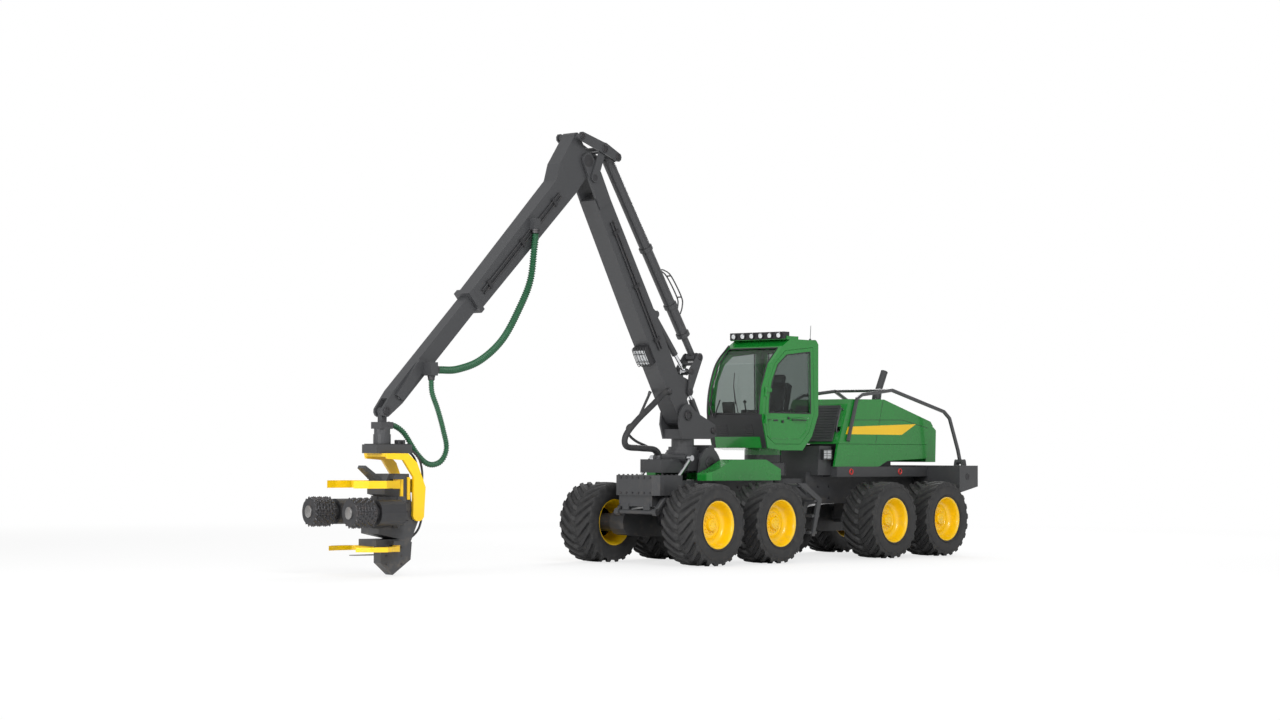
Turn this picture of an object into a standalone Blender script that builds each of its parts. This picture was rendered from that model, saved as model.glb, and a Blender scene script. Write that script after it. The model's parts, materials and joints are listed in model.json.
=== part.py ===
"""An eight-wheeled, frame-steered forestry harvester. Metres, +X forward, +Y to the driver's left, +Z up.

Places are given from the ground below the middle of the front bogie. The last step moves the whole
machine so that the middle of its box is over the origin.
"""

from math import atan2, cos, hypot, pi, radians, sin

import bmesh
import bpy
from mathutils import Matrix, Vector

# Gaps between separate pieces
SEAT_GAP = 0.0003
MOVING_GAP = 0.006

# Wheels and bogies
TYRE_RADIUS = 0.67
TYRE_WIDTH = 0.71
RIM_RADIUS = 0.375
DISC_OFFSET = 0.10
DISC_THICKNESS = 0.06
WHEEL_Y = 1.125
BOGIE_DISTANCE = 4.75
FRONT_WHEEL_SPACING = 1.61
REAR_WHEEL_SPACING = 1.58
BOGIE_BOX_Y = (0.44, 0.745)
AXLE_RADIUS = 0.14
HUB_RADIUS = 0.15
ROUND_STEPS = 24

# Chassis
FRAME_HALF_WIDTH = 0.35
FRAME_LOW = 0.95
FRAME_HIGH = 1.37
NOSE_X = 1.20
PIVOT_X = -2.40
TONGUE_Z = (1.06, 1.26)
FORK_Z = (0.93, 1.39)
SKIRT_HALF_WIDTH = 0.66
SKIRT_Z = (1.42, 1.60)
BUMPER_X = (-6.05, -6.63)
BUMPER_HALF_WIDTH = 1.37
BUMPER_TOP = 1.62

# Cab
CAB_X = -2.10
CAB_HALF_WIDTH = 0.62
CAB_WALL = 0.05
CAB_FLOOR = 1.88
TURRET_LOW = 1.40
TURNTABLE_TOP = 1.80
DOOR_GAP = 0.007
DOOR_HINGE = (-1.385, 0.65)
DOOR_HINGE_Z = (2.44, 2.90)
DOOR_KNUCKLE = 0.05

# Hood
HOOD_HALF_WIDTH = 0.64
HOOD_SHEET = 0.04
HOOD_SPLIT_Z = 2.00
HOOD_HINGE = (-6.54, 1.69)
HINGE_BOSS_RADIUS = 0.045
HINGE_BOSS_Y = (0.99, 1.09)
RAIL_RADIUS = 0.035

# Crane, as (x, z) in its own upright plane
TILT_AXIS = (-0.20, 1.66)
SLEW_X = 0.02
PILLAR_LOW = 1.875
PILLAR_RADIUS = 0.19
BOOM_FOOT = (0.15, 2.45)
ELBOW = (2.55, 6.48)
ROCKER_PIVOT = (0.02, 2.85)
ROCKER_EYE = (-0.02, 3.18)
TUBE_LOW = (-0.23, 3.43)
TUBE_HIGH = (1.92, 6.59)
STICK_CYLINDER_PIN = (0.79, 4.11)
LIFT_PIN_LOW = (-0.50, 2.20)
LIFT_PIN_HIGH = (-0.05, 2.97)
LINK_PIN = (2.43, 6.22)
PLATE_PIN = (2.24, 6.70)
STICK_LUG = (2.77, 6.85)
TIP = (6.78, 2.42)
TILT_FOOT = (1.16, 0.86)
TILT_EYE = (0.30, 1.74)
TILT_CYLINDER_Y = 0.41
STICK_OUTER_LENGTH = 3.45
TUBE_RADIUS = 0.095
TUBE_NECK_RADIUS = 0.055
TUBE_NECK_LENGTH = 0.42
CYLINDER_RADIUS = 0.055
ROD_RADIUS = 0.033
BORE_GAP = 0.001
EYE_RADIUS = 0.06
EYE_HALF_WIDTH = 0.05
TILT_CYLINDER_RADIUS = 0.052
TILT_ROD_RADIUS = 0.027

# Layers of the crane's side plates, as distances from its middle plane
BRACKET_Y = (0.105, 0.132)
ROCKER_Y = (0.142, 0.167)
CLEVIS_Y = (0.185, 0.225)
FORK_Y = (0.150, 0.190)
LINK_Y = (0.197, 0.222)
ELBOW_PLATE_Y = (0.232, 0.257)

# Head, turned about the tip's upright line. f is forward on the head, s to its left
HEAD_YAW = radians(-10)
ROTATOR_Z = (2.08, 1.92)
HEAD_TILT_PIN = (-0.45, 0.90)
ARM_PIN = (-0.12, 0.30)
ROLLER_Z = 0.94
ROLLER_RADIUS = 0.225
ROLLER_S = 0.56
ROLLER_F = (0.54, 0.90)
HEAD_LOW = 0.02
HEAD_BACK_HALF_WIDTH = 0.24

# name: (red, green, blue, roughness, metallic)
PAINTS = {
    "charcoal_paint": (0.060, 0.062, 0.062, 0.45, 0.1),
    "green_paint": (0.045, 0.250, 0.060, 0.35, 0.0),
    "yellow_paint": (0.900, 0.600, 0.020, 0.35, 0.0),
    "tyre_rubber": (0.030, 0.030, 0.030, 0.85, 0.0),
    "black_plastic": (0.020, 0.020, 0.020, 0.50, 0.0),
    "window_glass": (0.300, 0.380, 0.340, 0.05, 0.0),
    "seat_cloth": (0.080, 0.080, 0.085, 0.90, 0.0),
    "chrome": (0.750, 0.750, 0.750, 0.15, 1.0),
    "bare_steel": (0.300, 0.300, 0.300, 0.40, 1.0),
    "hose_sleeve": (0.030, 0.150, 0.060, 0.55, 0.0),
}


def clear_scene():
    for obj in list(bpy.data.objects):
        bpy.data.objects.remove(obj, do_unlink=True)


def make_collection(name):
    collection = bpy.data.collections.new(name)
    bpy.context.scene.collection.children.link(collection)
    return collection


def make_paint(name):
    red, green, blue, roughness, metallic = PAINTS[name]
    paint = bpy.data.materials.new(name)
    paint.use_nodes = True
    shader = paint.node_tree.nodes["Principled BSDF"]
    shader.inputs["Base Color"].default_value = (red, green, blue, 1)
    shader.inputs["Roughness"].default_value = roughness
    shader.inputs["Metallic"].default_value = metallic
    return paint


clear_scene()
parts = make_collection("forestry_harvester")
paints = {name: make_paint(name) for name in PAINTS}
machine = bpy.data.objects.new("machine", None)
head_frame = bpy.data.objects.new("head_frame", None)
for helper in (machine, head_frame):
    parts.objects.link(helper)
head_frame.parent = machine
head_frame.location = (TIP[0], 0, 0)
head_frame.rotation_euler.z = HEAD_YAW


# ---------------------------------------------------------------- shapes


def placed(mesh):
    shape = bpy.data.objects.new("shape", mesh)
    bpy.context.scene.collection.objects.link(shape)
    return shape


def box(low, high):
    """A box between two corners."""
    work = bmesh.new()
    bmesh.ops.create_cube(work, size=1)
    size = Vector(high) - Vector(low)
    middle = (Vector(high) + Vector(low)) / 2
    bmesh.ops.scale(work, vec=size, verts=work.verts)
    bmesh.ops.translate(work, vec=middle, verts=work.verts)
    mesh = bpy.data.meshes.new("box")
    work.to_mesh(mesh)
    work.free()
    return placed(mesh)


def bar(start, end, radius, end_radius=None, steps=16):
    """A round bar, or a cone, between two points."""
    start, end = Vector(start), Vector(end)
    along = end - start
    work = bmesh.new()
    bmesh.ops.create_cone(
        work,
        cap_ends=True,
        segments=steps,
        radius1=radius,
        radius2=radius if end_radius is None else end_radius,
        depth=along.length,
    )
    turn = Vector((0, 0, 1)).rotation_difference(along).to_matrix().to_4x4()
    bmesh.ops.transform(
        work, matrix=Matrix.Translation((start + end) / 2) @ turn, verts=work.verts
    )
    mesh = bpy.data.meshes.new("bar")
    work.to_mesh(mesh)
    work.free()
    return placed(mesh)


def cross_bar(at, radius, y, steps=16):
    """A round bar along Y through the point (x, z), between two values of y."""
    return bar((at[0], y[0], at[1]), (at[0], y[1], at[1]), radius, steps=steps)


def mesh_of(shape):
    """Turns a curve object into a closed mesh object in its place."""
    graph = bpy.context.evaluated_depsgraph_get()
    mesh = bpy.data.meshes.new_from_object(shape.evaluated_get(graph))
    work = bmesh.new()
    work.from_mesh(mesh)
    bmesh.ops.remove_doubles(work, verts=work.verts, dist=0.00005)
    bmesh.ops.recalc_face_normals(work, faces=work.faces)
    work.to_mesh(mesh)
    work.free()
    made = placed(mesh)
    made.matrix_world = shape.matrix_world.copy()
    bpy.data.objects.remove(shape)
    return made


def outline_curve(points, thickness):
    curve = bpy.data.curves.new("outline", "CURVE")
    curve.dimensions = "2D"
    curve.fill_mode = "BOTH"
    curve.extrude = thickness / 2
    spline = curve.splines.new("POLY")
    spline.points.add(len(points) - 1)
    for point, (u, v) in zip(spline.points, points):
        point.co = (u, v, 0, 1)
    spline.use_cyclic_u = True
    return placed(curve)


def side_plate(points, y):
    """A flat piece whose outline (x, z) lies in an upright lengthwise plane, between two values of y."""
    shape = outline_curve(points, abs(y[1] - y[0]))
    shape.matrix_world = Matrix.Translation((0, (y[0] + y[1]) / 2, 0)) @ Matrix.Rotation(pi / 2, 4, "X")
    bpy.context.view_layer.update()
    return baked(mesh_of(shape))


def floor_plate(points, z):
    """A flat piece whose outline (x, y) is level, between two values of z."""
    shape = outline_curve(points, abs(z[1] - z[0]))
    shape.matrix_world = Matrix.Translation((0, 0, (z[0] + z[1]) / 2))
    bpy.context.view_layer.update()
    return baked(mesh_of(shape))


def baked(shape):
    """Moves an object's placement into its mesh."""
    shape.data.transform(shape.matrix_world)
    shape.matrix_world = Matrix()
    return shape


def tube(points, radius, sides=3):
    """A round tube through a list of points, with filled ends."""
    curve = bpy.data.curves.new("tube", "CURVE")
    curve.dimensions = "3D"
    curve.bevel_depth = radius
    curve.bevel_resolution = sides
    curve.use_fill_caps = True
    spline = curve.splines.new("POLY")
    spline.points.add(len(points) - 1)
    for point, place in zip(spline.points, points):
        point.co = (*place, 1)
    return mesh_of(placed(curve))


def turned(profile, steps=ROUND_STEPS):
    """A solid turned about Z from (radius, height) points that run down its outer side."""
    mesh = bpy.data.meshes.new("profile")
    places = [(radius, 0, height) for radius, height in profile]
    mesh.from_pydata(places, [(i, i + 1) for i in range(len(places) - 1)], [])
    shape = placed(mesh)
    screw = shape.modifiers.new("turn", "SCREW")
    screw.axis = "Z"
    screw.angle = 2 * pi
    screw.steps = screw.render_steps = steps
    screw.use_merge_vertices = True
    screw.merge_threshold = 0.0001
    return mesh_of(shape)


def both_sides(make, *arguments):
    """The same shape on the left and, mirrored, on the right."""
    left = make(*arguments)
    right = placed(left.data.copy())
    right.data.transform(Matrix.Scale(-1, 4, (0, 1, 0)))
    right.data.flip_normals()
    return [left, right]


def circle(centre, radius, start, end, count):
    """Points on an arc, by angles in degrees."""
    angles = [radians(start + (end - start) * i / (count - 1)) for i in range(count)]
    return [(centre[0] + radius * cos(a), centre[1] + radius * sin(a)) for a in angles]


def bar_outline(start, end, start_radius, end_radius, count=7):
    """The outline of a flat link: two round ends joined by straight sides."""
    heading = atan2(end[1] - start[1], end[0] - start[0]) * 180 / pi
    near = circle(start, start_radius, heading + 90, heading + 270, count)
    far = circle(end, end_radius, heading - 90, heading + 90, count)
    return near + far


def along(start, end, distance, rise=0.0):
    """The point (x, z) at a distance from start towards end, and raised square to that line."""
    length = hypot(end[0] - start[0], end[1] - start[1])
    ux, uz = (end[0] - start[0]) / length, (end[1] - start[1]) / length
    return (start[0] + ux * distance - uz * rise, start[1] + uz * distance + ux * rise)


def finished(name, paint, shapes, cuts=(), pivot=(0, 0, 0), parent=machine, solver="EXACT"):
    """One named piece: the union of the shapes, less the cuts, with its origin at its pivot."""
    shapes, cuts = list(shapes), list(cuts)
    base = shapes[0]
    for operation, others in (("UNION", shapes[1:]), ("DIFFERENCE", cuts)):
        for other in others:
            step = base.modifiers.new(operation.lower(), "BOOLEAN")
            step.operation = operation
            step.solver = solver
            step.object = other
    graph = bpy.context.evaluated_depsgraph_get()
    mesh = bpy.data.meshes.new_from_object(base.evaluated_get(graph))
    for used in shapes + cuts:
        bpy.data.objects.remove(used, do_unlink=True)
    mesh.transform(Matrix.Translation(-Vector(pivot)))
    mesh.materials.clear()
    mesh.materials.append(paints[paint])
    mesh.shade_smooth()
    mesh.set_sharp_from_angle(angle=radians(35))
    piece = bpy.data.objects.new(name, mesh)
    piece.location = pivot
    piece.parent = parent
    parts.objects.link(piece)
    return piece


# ---------------------------------------------------------------- wheels and bogies


def wheel_profile():
    """(radius, height) down a wheel, from the middle of its outer face to the middle of its inner face."""
    half = TYRE_WIDTH / 2
    disc = DISC_OFFSET
    return [
        (0, disc + 0.05),
        (0.17, disc + 0.05),
        (0.20, disc),
        (0.30, disc),
        (0.335, half - 0.05),
        (RIM_RADIUS, half - 0.04),
        (0.54, half),
        (TYRE_RADIUS, half - 0.09),
        (TYRE_RADIUS, -half + 0.09),
        (0.54, -half),
        (RIM_RADIUS, -half + 0.04),
        (0.335, -half + 0.05),
        (0.30, disc - DISC_THICKNESS),
        (0, disc - DISC_THICKNESS),
    ]


def make_wheel(name, x, side):
    shape = turned(wheel_profile())
    shape.data.transform(Matrix.Rotation(-side * pi / 2, 4, "X"))
    centre = Vector((x, side * WHEEL_Y, TYRE_RADIUS))
    shape.data.transform(Matrix.Translation(centre))
    finished(name, "tyre_rubber", [shape], pivot=centre)


def make_bogie(name, middle_x, spacing):
    """An axle, its two bogie boxes and the four hubs that carry the wheels."""
    reach = spacing / 2
    disc_inner = WHEEL_Y + DISC_OFFSET - DISC_THICKNESS
    low, high = TYRE_RADIUS - 0.21, TYRE_RADIUS + 0.21
    outline = [
        *circle((middle_x + reach, TYRE_RADIUS), 0.21, -90, 90, 7),
        (middle_x + 0.30, high + 0.04),
        (middle_x - 0.30, high + 0.04),
        *circle((middle_x - reach, TYRE_RADIUS), 0.21, 90, 270, 7),
        (middle_x - 0.30, low - 0.03),
        (middle_x + 0.30, low - 0.03),
    ]
    tube_z = 0.73
    shapes = [bar((middle_x, -0.6, tube_z), (middle_x, 0.6, tube_z), AXLE_RADIUS)]
    shapes += both_sides(side_plate, outline, BOGIE_BOX_Y)
    saddle_top = FRAME_LOW - SEAT_GAP
    shapes.append(box((middle_x - 0.26, -0.28, tube_z - 0.05), (middle_x + 0.26, 0.28, saddle_top)))
    for x in (middle_x - reach, middle_x + reach):
        for side in (-1, 1):
            inner = (x, side * (BOGIE_BOX_Y[1] - 0.1), TYRE_RADIUS)
            outer = (x, side * (disc_inner - SEAT_GAP), TYRE_RADIUS)
            shapes.append(bar(inner, outer, HUB_RADIUS))
    finished(name, "charcoal_paint", shapes)


def make_running_gear():
    # (end, middle of the bogie, distance between its wheels)
    bogies = [
        ("front", 0.0, FRONT_WHEEL_SPACING),
        ("rear", -BOGIE_DISTANCE, REAR_WHEEL_SPACING),
    ]
    for end, middle, spacing in bogies:
        make_bogie(end + "_bogie_axle", middle, spacing)
        for place, x in (("leading", middle + spacing / 2), ("trailing", middle - spacing / 2)):
            for side_name, side in (("left", 1), ("right", -1)):
                make_wheel(f"{end}_{place}_wheel_{side_name}", x, side)


# ---------------------------------------------------------------- chassis


def make_front_frame():
    half = FRAME_HALF_WIDTH
    nose_half = 0.50
    nose = [
        (0.60, -nose_half),
        *circle((NOSE_X - 0.14, 0.14 - nose_half), 0.14, -90, 0, 4),
        *circle((NOSE_X - 0.14, nose_half - 0.14), 0.14, 0, 90, 4),
        (0.60, nose_half),
    ]
    slot = [
        along(TILT_FOOT, TILT_EYE, -0.2, -0.10),
        along(TILT_FOOT, TILT_EYE, 1.2, -0.10),
        along(TILT_FOOT, TILT_EYE, 1.2, 0.10),
        along(TILT_FOOT, TILT_EYE, -0.2, 0.10),
    ]
    bearing_low = TILT_FOOT[1] + 0.035 + SEAT_GAP
    tongue = [
        (-1.80, -0.32),
        (-1.80, 0.32),
        *circle((PIVOT_X, 0), 0.20, 90, 270, 9),
    ]
    shapes = [
        box((-1.95, -half, FRAME_LOW), (0.70, half, FRAME_HIGH)),
        floor_plate(nose, (1.13, 1.46)),
        box((0.60, -0.38, FRAME_LOW), (NOSE_X - 0.03, 0.34, 1.2)),
        floor_plate(tongue, TONGUE_Z),
        bar((CAB_X, 0, TURRET_LOW), (CAB_X, 0, TURNTABLE_TOP), 0.32, steps=24),
        bar((CAB_X, 0, 1.45), (CAB_X, 0, 1.66), 0.40, steps=24),
        box((CAB_X, -half + 0.03, TURRET_LOW), (-1.71, half - 0.03, 1.5)),
        box((-1.94, -half + 0.02, FRAME_HIGH - 0.05), (-1.72, half - 0.02, 1.45)),
    ]
    tower = [(-0.52, 1.3), (-0.52, 1.62), *circle(TILT_AXIS, 0.25, 150, 20, 7), (0.12, 1.3)]
    shapes += both_sides(side_plate, tower, (0.375, 0.415))
    shapes += both_sides(box, (-0.52, half - 0.02, 1.2), (0.12, 0.415, 1.36))
    foot_x = TILT_FOOT[0]
    shapes += both_sides(box, (foot_x - 0.05, 0.16, bearing_low), (foot_x + 0.02, 0.30, FRAME_LOW + 0.05))
    slots = both_sides(side_plate, slot, (0.352, 0.468))
    finished("front_frame", "charcoal_paint", shapes, slots)


def make_front_deck():
    plan = [
        (0.18, 0.46),
        (0.18, 0.66),
        (0.10, 0.72),
        (-1.70, 0.72),
        (-1.70, -0.72),
        (0.10, -0.72),
        (0.18, -0.66),
        (0.18, -0.46),
        (-0.66, -0.46),
        (-0.66, 0.46),
    ]
    side = [
        (0.30, 1.30),
        (0.30, 1.46),
        (-0.05, 1.56),
        (-0.42, 1.72),
        (-1.30, 1.72),
        (-1.72, 1.55),
        (-1.80, 1.30),
    ]
    deck = floor_plate(plan, (FRAME_HIGH + SEAT_GAP, 1.80))
    above = side_plate(
        [(0.5, 1.90)] + [(x, z) for x, z in side[1:6]] + [(-2.0, 1.50), (-2.0, 1.90)],
        (-0.9, 0.9),
    )
    finished("front_deck", "green_paint", [deck], [above])


def make_rear_frame():
    half = FRAME_HALF_WIDTH
    fork = [(-2.95, -0.30), (-2.95, 0.30), *circle((PIVOT_X, 0), 0.18, 90, -90, 9)]
    shapes = [
        box((-6.10, -half, FRAME_LOW), (-2.85, half, 1.50)),
        floor_plate(fork, (FORK_Z[0], TONGUE_Z[0] - SEAT_GAP)),
        floor_plate(fork, (TONGUE_Z[1] + SEAT_GAP, FORK_Z[1])),
        box((-6.10, -SKIRT_HALF_WIDTH, SKIRT_Z[0]), (-3.35, SKIRT_HALF_WIDTH, SKIRT_Z[1])),
    ]
    front, back = BUMPER_X
    bumper = [
        (front, BUMPER_TOP),
        (front, 1.20),
        (front - 0.06, 1.14),
        (back, 1.24),
        (back, BUMPER_TOP),
    ]
    service_box = [(-2.97, 1.45), (-3.02, 1.96), (-3.36, 1.96), (-3.34, 1.45)]
    shapes.append(side_plate(bumper, (-BUMPER_HALF_WIDTH, BUMPER_HALF_WIDTH)))
    shapes.append(side_plate(service_box, (-0.52, 0.52)))
    hinge_x = HOOD_HINGE[0]
    lug = [
        (hinge_x - 0.07, BUMPER_TOP - 0.04),
        (hinge_x + 0.07, BUMPER_TOP - 0.04),
        *circle(HOOD_HINGE, HINGE_BOSS_RADIUS, 0, 180, 7),
    ]
    inner, outer = HINGE_BOSS_Y
    shapes += both_sides(side_plate, lug, (inner - 0.05, inner - SEAT_GAP))
    shapes += both_sides(side_plate, lug, (outer + SEAT_GAP, outer + 0.05))
    finished("rear_frame", "charcoal_paint", shapes)


def make_steps():
    """A zigzag ladder below the cab's rear corner, held by a bracket on the front frame."""
    reach = FRAME_HALF_WIDTH + SEAT_GAP
    cheek = [(-1.74, 1.32), (-1.95, 1.32), (-2.40, 1.05), (-2.20, 0.42), (-2.12, 0.42), (-2.28, 1.02)]
    shapes = [
        box((-1.92, reach, 1.22), (-1.72, 0.80, 1.30)),
        side_plate(cheek, (0.74, 0.78)),
        side_plate(cheek, (1.02, 1.06)),
    ]
    # (middle x, z) of each tread
    for x, z in ((-1.88, 1.28), (-2.30, 1.02), (-2.24, 0.76), (-2.17, 0.48)):
        shapes.append(box((x - 0.10, 0.75, z - 0.02), (x + 0.10, 1.05, z + 0.02)))
    finished("access_steps", "charcoal_paint", shapes)


# ---------------------------------------------------------------- engine bay


def make_engine():
    bed = SKIRT_Z[1] + SEAT_GAP
    finished("engine", "charcoal_paint", [box((-5.30, -0.38, bed), (-3.90, 0.38, 2.35))])


def make_side_panels():
    outline = [
        (-3.30, SKIRT_Z[1] + SEAT_GAP),
        (-3.40, HOOD_SPLIT_Z - MOVING_GAP),
        (-6.10, HOOD_SPLIT_Z - MOVING_GAP),
        (-6.08, 1.75),
        (-4.85, 1.70),
        (-4.60, SKIRT_Z[1] + SEAT_GAP),
    ]
    outline = [(x, max(z, SKIRT_Z[1] + SEAT_GAP)) for x, z in outline]
    for name, side in (("left", 1), ("right", -1)):
        y = (side * (HOOD_HALF_WIDTH - HOOD_SHEET), side * HOOD_HALF_WIDTH)
        finished(f"side_panel_{name}", "green_paint", [side_plate(outline, sorted(y))])


def hood_outline(inset):
    """The hood's side view (x, z), drawn in by an inset except at its open underside."""
    i = inset
    return [
        (-3.42 - i, HOOD_SPLIT_Z),
        (-3.68 - i, 2.70),
        (-3.74 - i, 2.79 - i),
        (-4.75, 2.80 - i),
        (-6.18 + i, 2.42 - i),
        (-6.25 + i, 2.34 - i),
        (-6.10 + i, HOOD_SPLIT_Z),
    ]


def make_hood():
    half = HOOD_HALF_WIDTH
    pivot = (HOOD_HINGE[0], 0, HOOD_HINGE[1])
    outer = side_plate(hood_outline(0), (-half, half))
    inner = side_plate(
        [(x, z - 0.5 if z == HOOD_SPLIT_Z else z) for x, z in hood_outline(HOOD_SHEET)],
        (-half + HOOD_SHEET + 0.03, half - HOOD_SHEET - 0.03),
    )
    side_gap = HOOD_SPLIT_Z - 0.4
    inner_low = box((-6.04, -half + HOOD_SHEET, side_gap), (-3.50, half - HOOD_SHEET, 2.3))
    grille = [(-6.22, 2.30), (-6.13, 1.68), (-6.44, 1.68), (-6.46, 2.26), (-6.38, 2.32)]
    rear_grille = side_plate(grille, (-0.56, 0.56))
    finished("hood", "green_paint", [outer, rear_grille], [inner, inner_low], pivot=pivot)


def make_guard_rails():
    """Two tubes that run over the hood's sides, joined by a cross tube at their highest bend."""
    pivot = (HOOD_HINGE[0], 0, HOOD_HINGE[1])
    outside = HOOD_HALF_WIDTH + RAIL_RADIUS + SEAT_GAP
    path = [
        (-3.64, outside, 2.05),
        (-3.90, outside, 2.80),
        (-4.05, outside - 0.01, 2.87),
        (-4.98, outside - 0.03, 2.97),
        (-6.20, 0.92, 2.60),
        (-6.32, 0.96, 2.48),
        (-6.50, 1.02, 1.90),
        (HOOD_HINGE[0], 1.04, HOOD_HINGE[1]),
    ]
    shapes = both_sides(tube, path, RAIL_RADIUS, 1)
    top = path[3]
    shapes.append(bar((top[0], -top[1], top[2]), top, RAIL_RADIUS * 0.8, steps=8))
    feet = both_sides(cross_bar, HOOD_HINGE, HINGE_BOSS_RADIUS, HINGE_BOSS_Y, 12)
    finished("guard_rails", "charcoal_paint", shapes + feet, pivot=pivot)


def make_exhaust():
    pivot = (HOOD_HINGE[0], 0, HOOD_HINGE[1])
    shapes = [
        bar((-5.27, 0.05, 2.60), (-5.34, 0.05, 2.96), 0.085, steps=14),
        bar((-5.33, 0.05, 2.90), (-5.55, 0.05, 3.32), 0.065, steps=14),
    ]
    hood_copy = side_plate([(x, z + SEAT_GAP) for x, z in hood_outline(0)], (-0.3, 0.4))
    finished("exhaust_stack", "bare_steel", shapes, [hood_copy], pivot=pivot)


# ---------------------------------------------------------------- cab


def cab_outline(inset):
    """The cab's side view (x, z), drawn in by an inset."""
    i = inset
    return [
        (-1.47 - i, CAB_FLOOR + 0.04 + i),
        (-1.33 - i, 2.40),
        (-1.33 - i, 2.62),
        (-1.38 - i, 2.95),
        (-1.55 - i, 3.36),
        (-1.86 - i * 0.6, 3.66 - i),
        (-2.08, 3.79 - i),
        (-2.80 + i, 3.79 - i),
        (-2.86 + i, 3.72 - i),
        (-2.86 + i, 2.50),
        (-2.68 + i * 0.6, 2.12 + i * 0.8),
        (-2.42, CAB_FLOOR + i),
        (-1.80, CAB_FLOOR + i),
    ]


def door_outline(inset):
    i = inset
    return [
        (-1.46 - i, 2.12 + i),
        (-1.40 - i, 2.45),
        (-1.42 - i, 2.70),
        (-1.50 - i, 3.05),
        (-1.66 - i, 3.36),
        (-1.94 - i * 0.6, 3.58 - i),
        (-2.70 + i, 3.66 - i),
        (-2.74 + i, 2.52),
        (-2.60 + i, 2.20 + i * 0.6),
        (-2.36, 1.99 + i),
        (-1.66, 1.99 + i),
    ]


def window_outline(inset):
    """The side windows' outline (x, z): the door's shape above the waist."""
    i = inset
    return [
        (-1.50 - i, 2.52 + i),
        (-1.51 - i, 2.72),
        (-1.58 - i, 3.05),
        (-1.74 - i, 3.34),
        (-1.98 - i * 0.6, 3.51 - i),
        (-2.62 + i, 3.58 - i),
        (-2.64 + i, 2.52 + i),
    ]


def cab_pivot():
    return (CAB_X, 0, CAB_FLOOR)


def windscreen_band(inset):
    """The front of the cab's skin between the lower sill and the roof, as an outline (x, z)."""
    i = inset
    outer = [(-1.33, 2.50 + i), (-1.33, 2.62), (-1.38, 2.95), (-1.55, 3.36), (-1.83 + i, 3.63 - i)]
    thin = 0.02
    skin = [(x - 0.015, z) for x, z in outer]
    return skin + [(x - thin, z) for x, z in reversed(skin)]


def make_cab_shell():
    half = CAB_HALF_WIDTH
    outer = side_plate(cab_outline(0), (-half, half))
    inner = side_plate(cab_outline(CAB_WALL), (-half + CAB_WALL, half - CAB_WALL))
    windscreen = side_plate(
        [(-1.0, 2.50), (-1.6, 2.50), (-1.66, 3.0), (-1.94, 3.40), (-1.94, 3.63), (-1.0, 3.63)],
        (-0.54, 0.54),
    )
    door_hole = side_plate(door_outline(-DOOR_GAP), (half - 0.1, half + 0.1))
    right_window = side_plate(window_outline(0), (-half - 0.1, -half + 0.1))
    rear_window = box((-3.0, -0.48, 2.56), (-2.75, 0.48, 3.58))
    roof = 3.79
    desk = [(-1.44, 1.92), (-1.36, 2.30), (-1.36, 2.49), (-1.60, 2.47), (-1.62, 2.38), (-1.56, 1.92)]
    added = [
        side_plate(desk, (-0.50, 0.50)),
        box((-2.30, -CAB_HALF_WIDTH, roof - 0.01), (-1.98, CAB_HALF_WIDTH, roof + 0.05)),
        box((-2.06, -0.60, roof - 0.01), (-1.94, 0.60, roof + 0.11)),
    ]
    hinge_x, hinge_y = DOOR_HINGE
    for z in DOOR_HINGE_Z:
        lug_low, lug_high = z - DOOR_KNUCKLE - 0.06, z - DOOR_KNUCKLE - SEAT_GAP
        added += [
            bar((hinge_x, hinge_y, lug_low), (hinge_x, hinge_y, lug_high), 0.018, steps=10),
            box((hinge_x - 0.015, half - 0.03, lug_low + 0.01), (hinge_x + 0.015, hinge_y, lug_high - 0.01)),
        ]
    ring = bar((CAB_X, 0, TURNTABLE_TOP + SEAT_GAP), (CAB_X, 0, CAB_FLOOR + 0.03), 0.32, steps=24)
    hollow = finished_shape([outer, ring], [inner, windscreen, door_hole, right_window, rear_window])
    finished("cab_shell", "green_paint", [hollow, *added], pivot=cab_pivot())


def make_cab_glass():
    half = CAB_HALF_WIDTH
    pane = 0.012
    pivot = cab_pivot()
    finished(
        "windscreen",
        "window_glass",
        [side_plate(windscreen_band(SEAT_GAP), (SEAT_GAP - 0.54, 0.54 - SEAT_GAP))],
        pivot=pivot,
    )
    low, high = 2.56 + SEAT_GAP, 3.58 - SEAT_GAP
    rear = box((-2.86 + 0.02, SEAT_GAP - 0.48, low), (-2.86 + 0.02 + pane, 0.48 - SEAT_GAP, high))
    finished("rear_window", "window_glass", [rear], pivot=pivot)
    right = side_plate(window_outline(2 * SEAT_GAP), (-half + 0.02, -half + 0.02 + pane))
    finished("right_window", "window_glass", [right], pivot=pivot)


def make_door():
    half = CAB_HALF_WIDTH
    hinge = (*DOOR_HINGE, 2.10)
    leaf = side_plate(door_outline(0), (half - CAB_WALL + 0.002, half))
    hinges = []
    for z in DOOR_HINGE_Z:
        hinges += [
            bar((*DOOR_HINGE, z - DOOR_KNUCKLE), (*DOOR_HINGE, z + DOOR_KNUCKLE), 0.018, steps=10),
            box((-1.53, half + 0.015, z - 0.03), (hinge[0], half + 0.04, z + 0.03)),
            box((-1.53, half - 0.02, z - 0.03), (-1.48, half + 0.04, z + 0.03)),
        ]
    hole = side_plate(window_outline(0), (half - 0.2, half + 0.01))
    finished("cab_door", "green_paint", [leaf, *hinges], [hole], pivot=hinge)
    pane = side_plate(window_outline(2 * SEAT_GAP), (half - 0.035, half - 0.023))
    finished("door_window", "window_glass", [pane], pivot=hinge)


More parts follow.
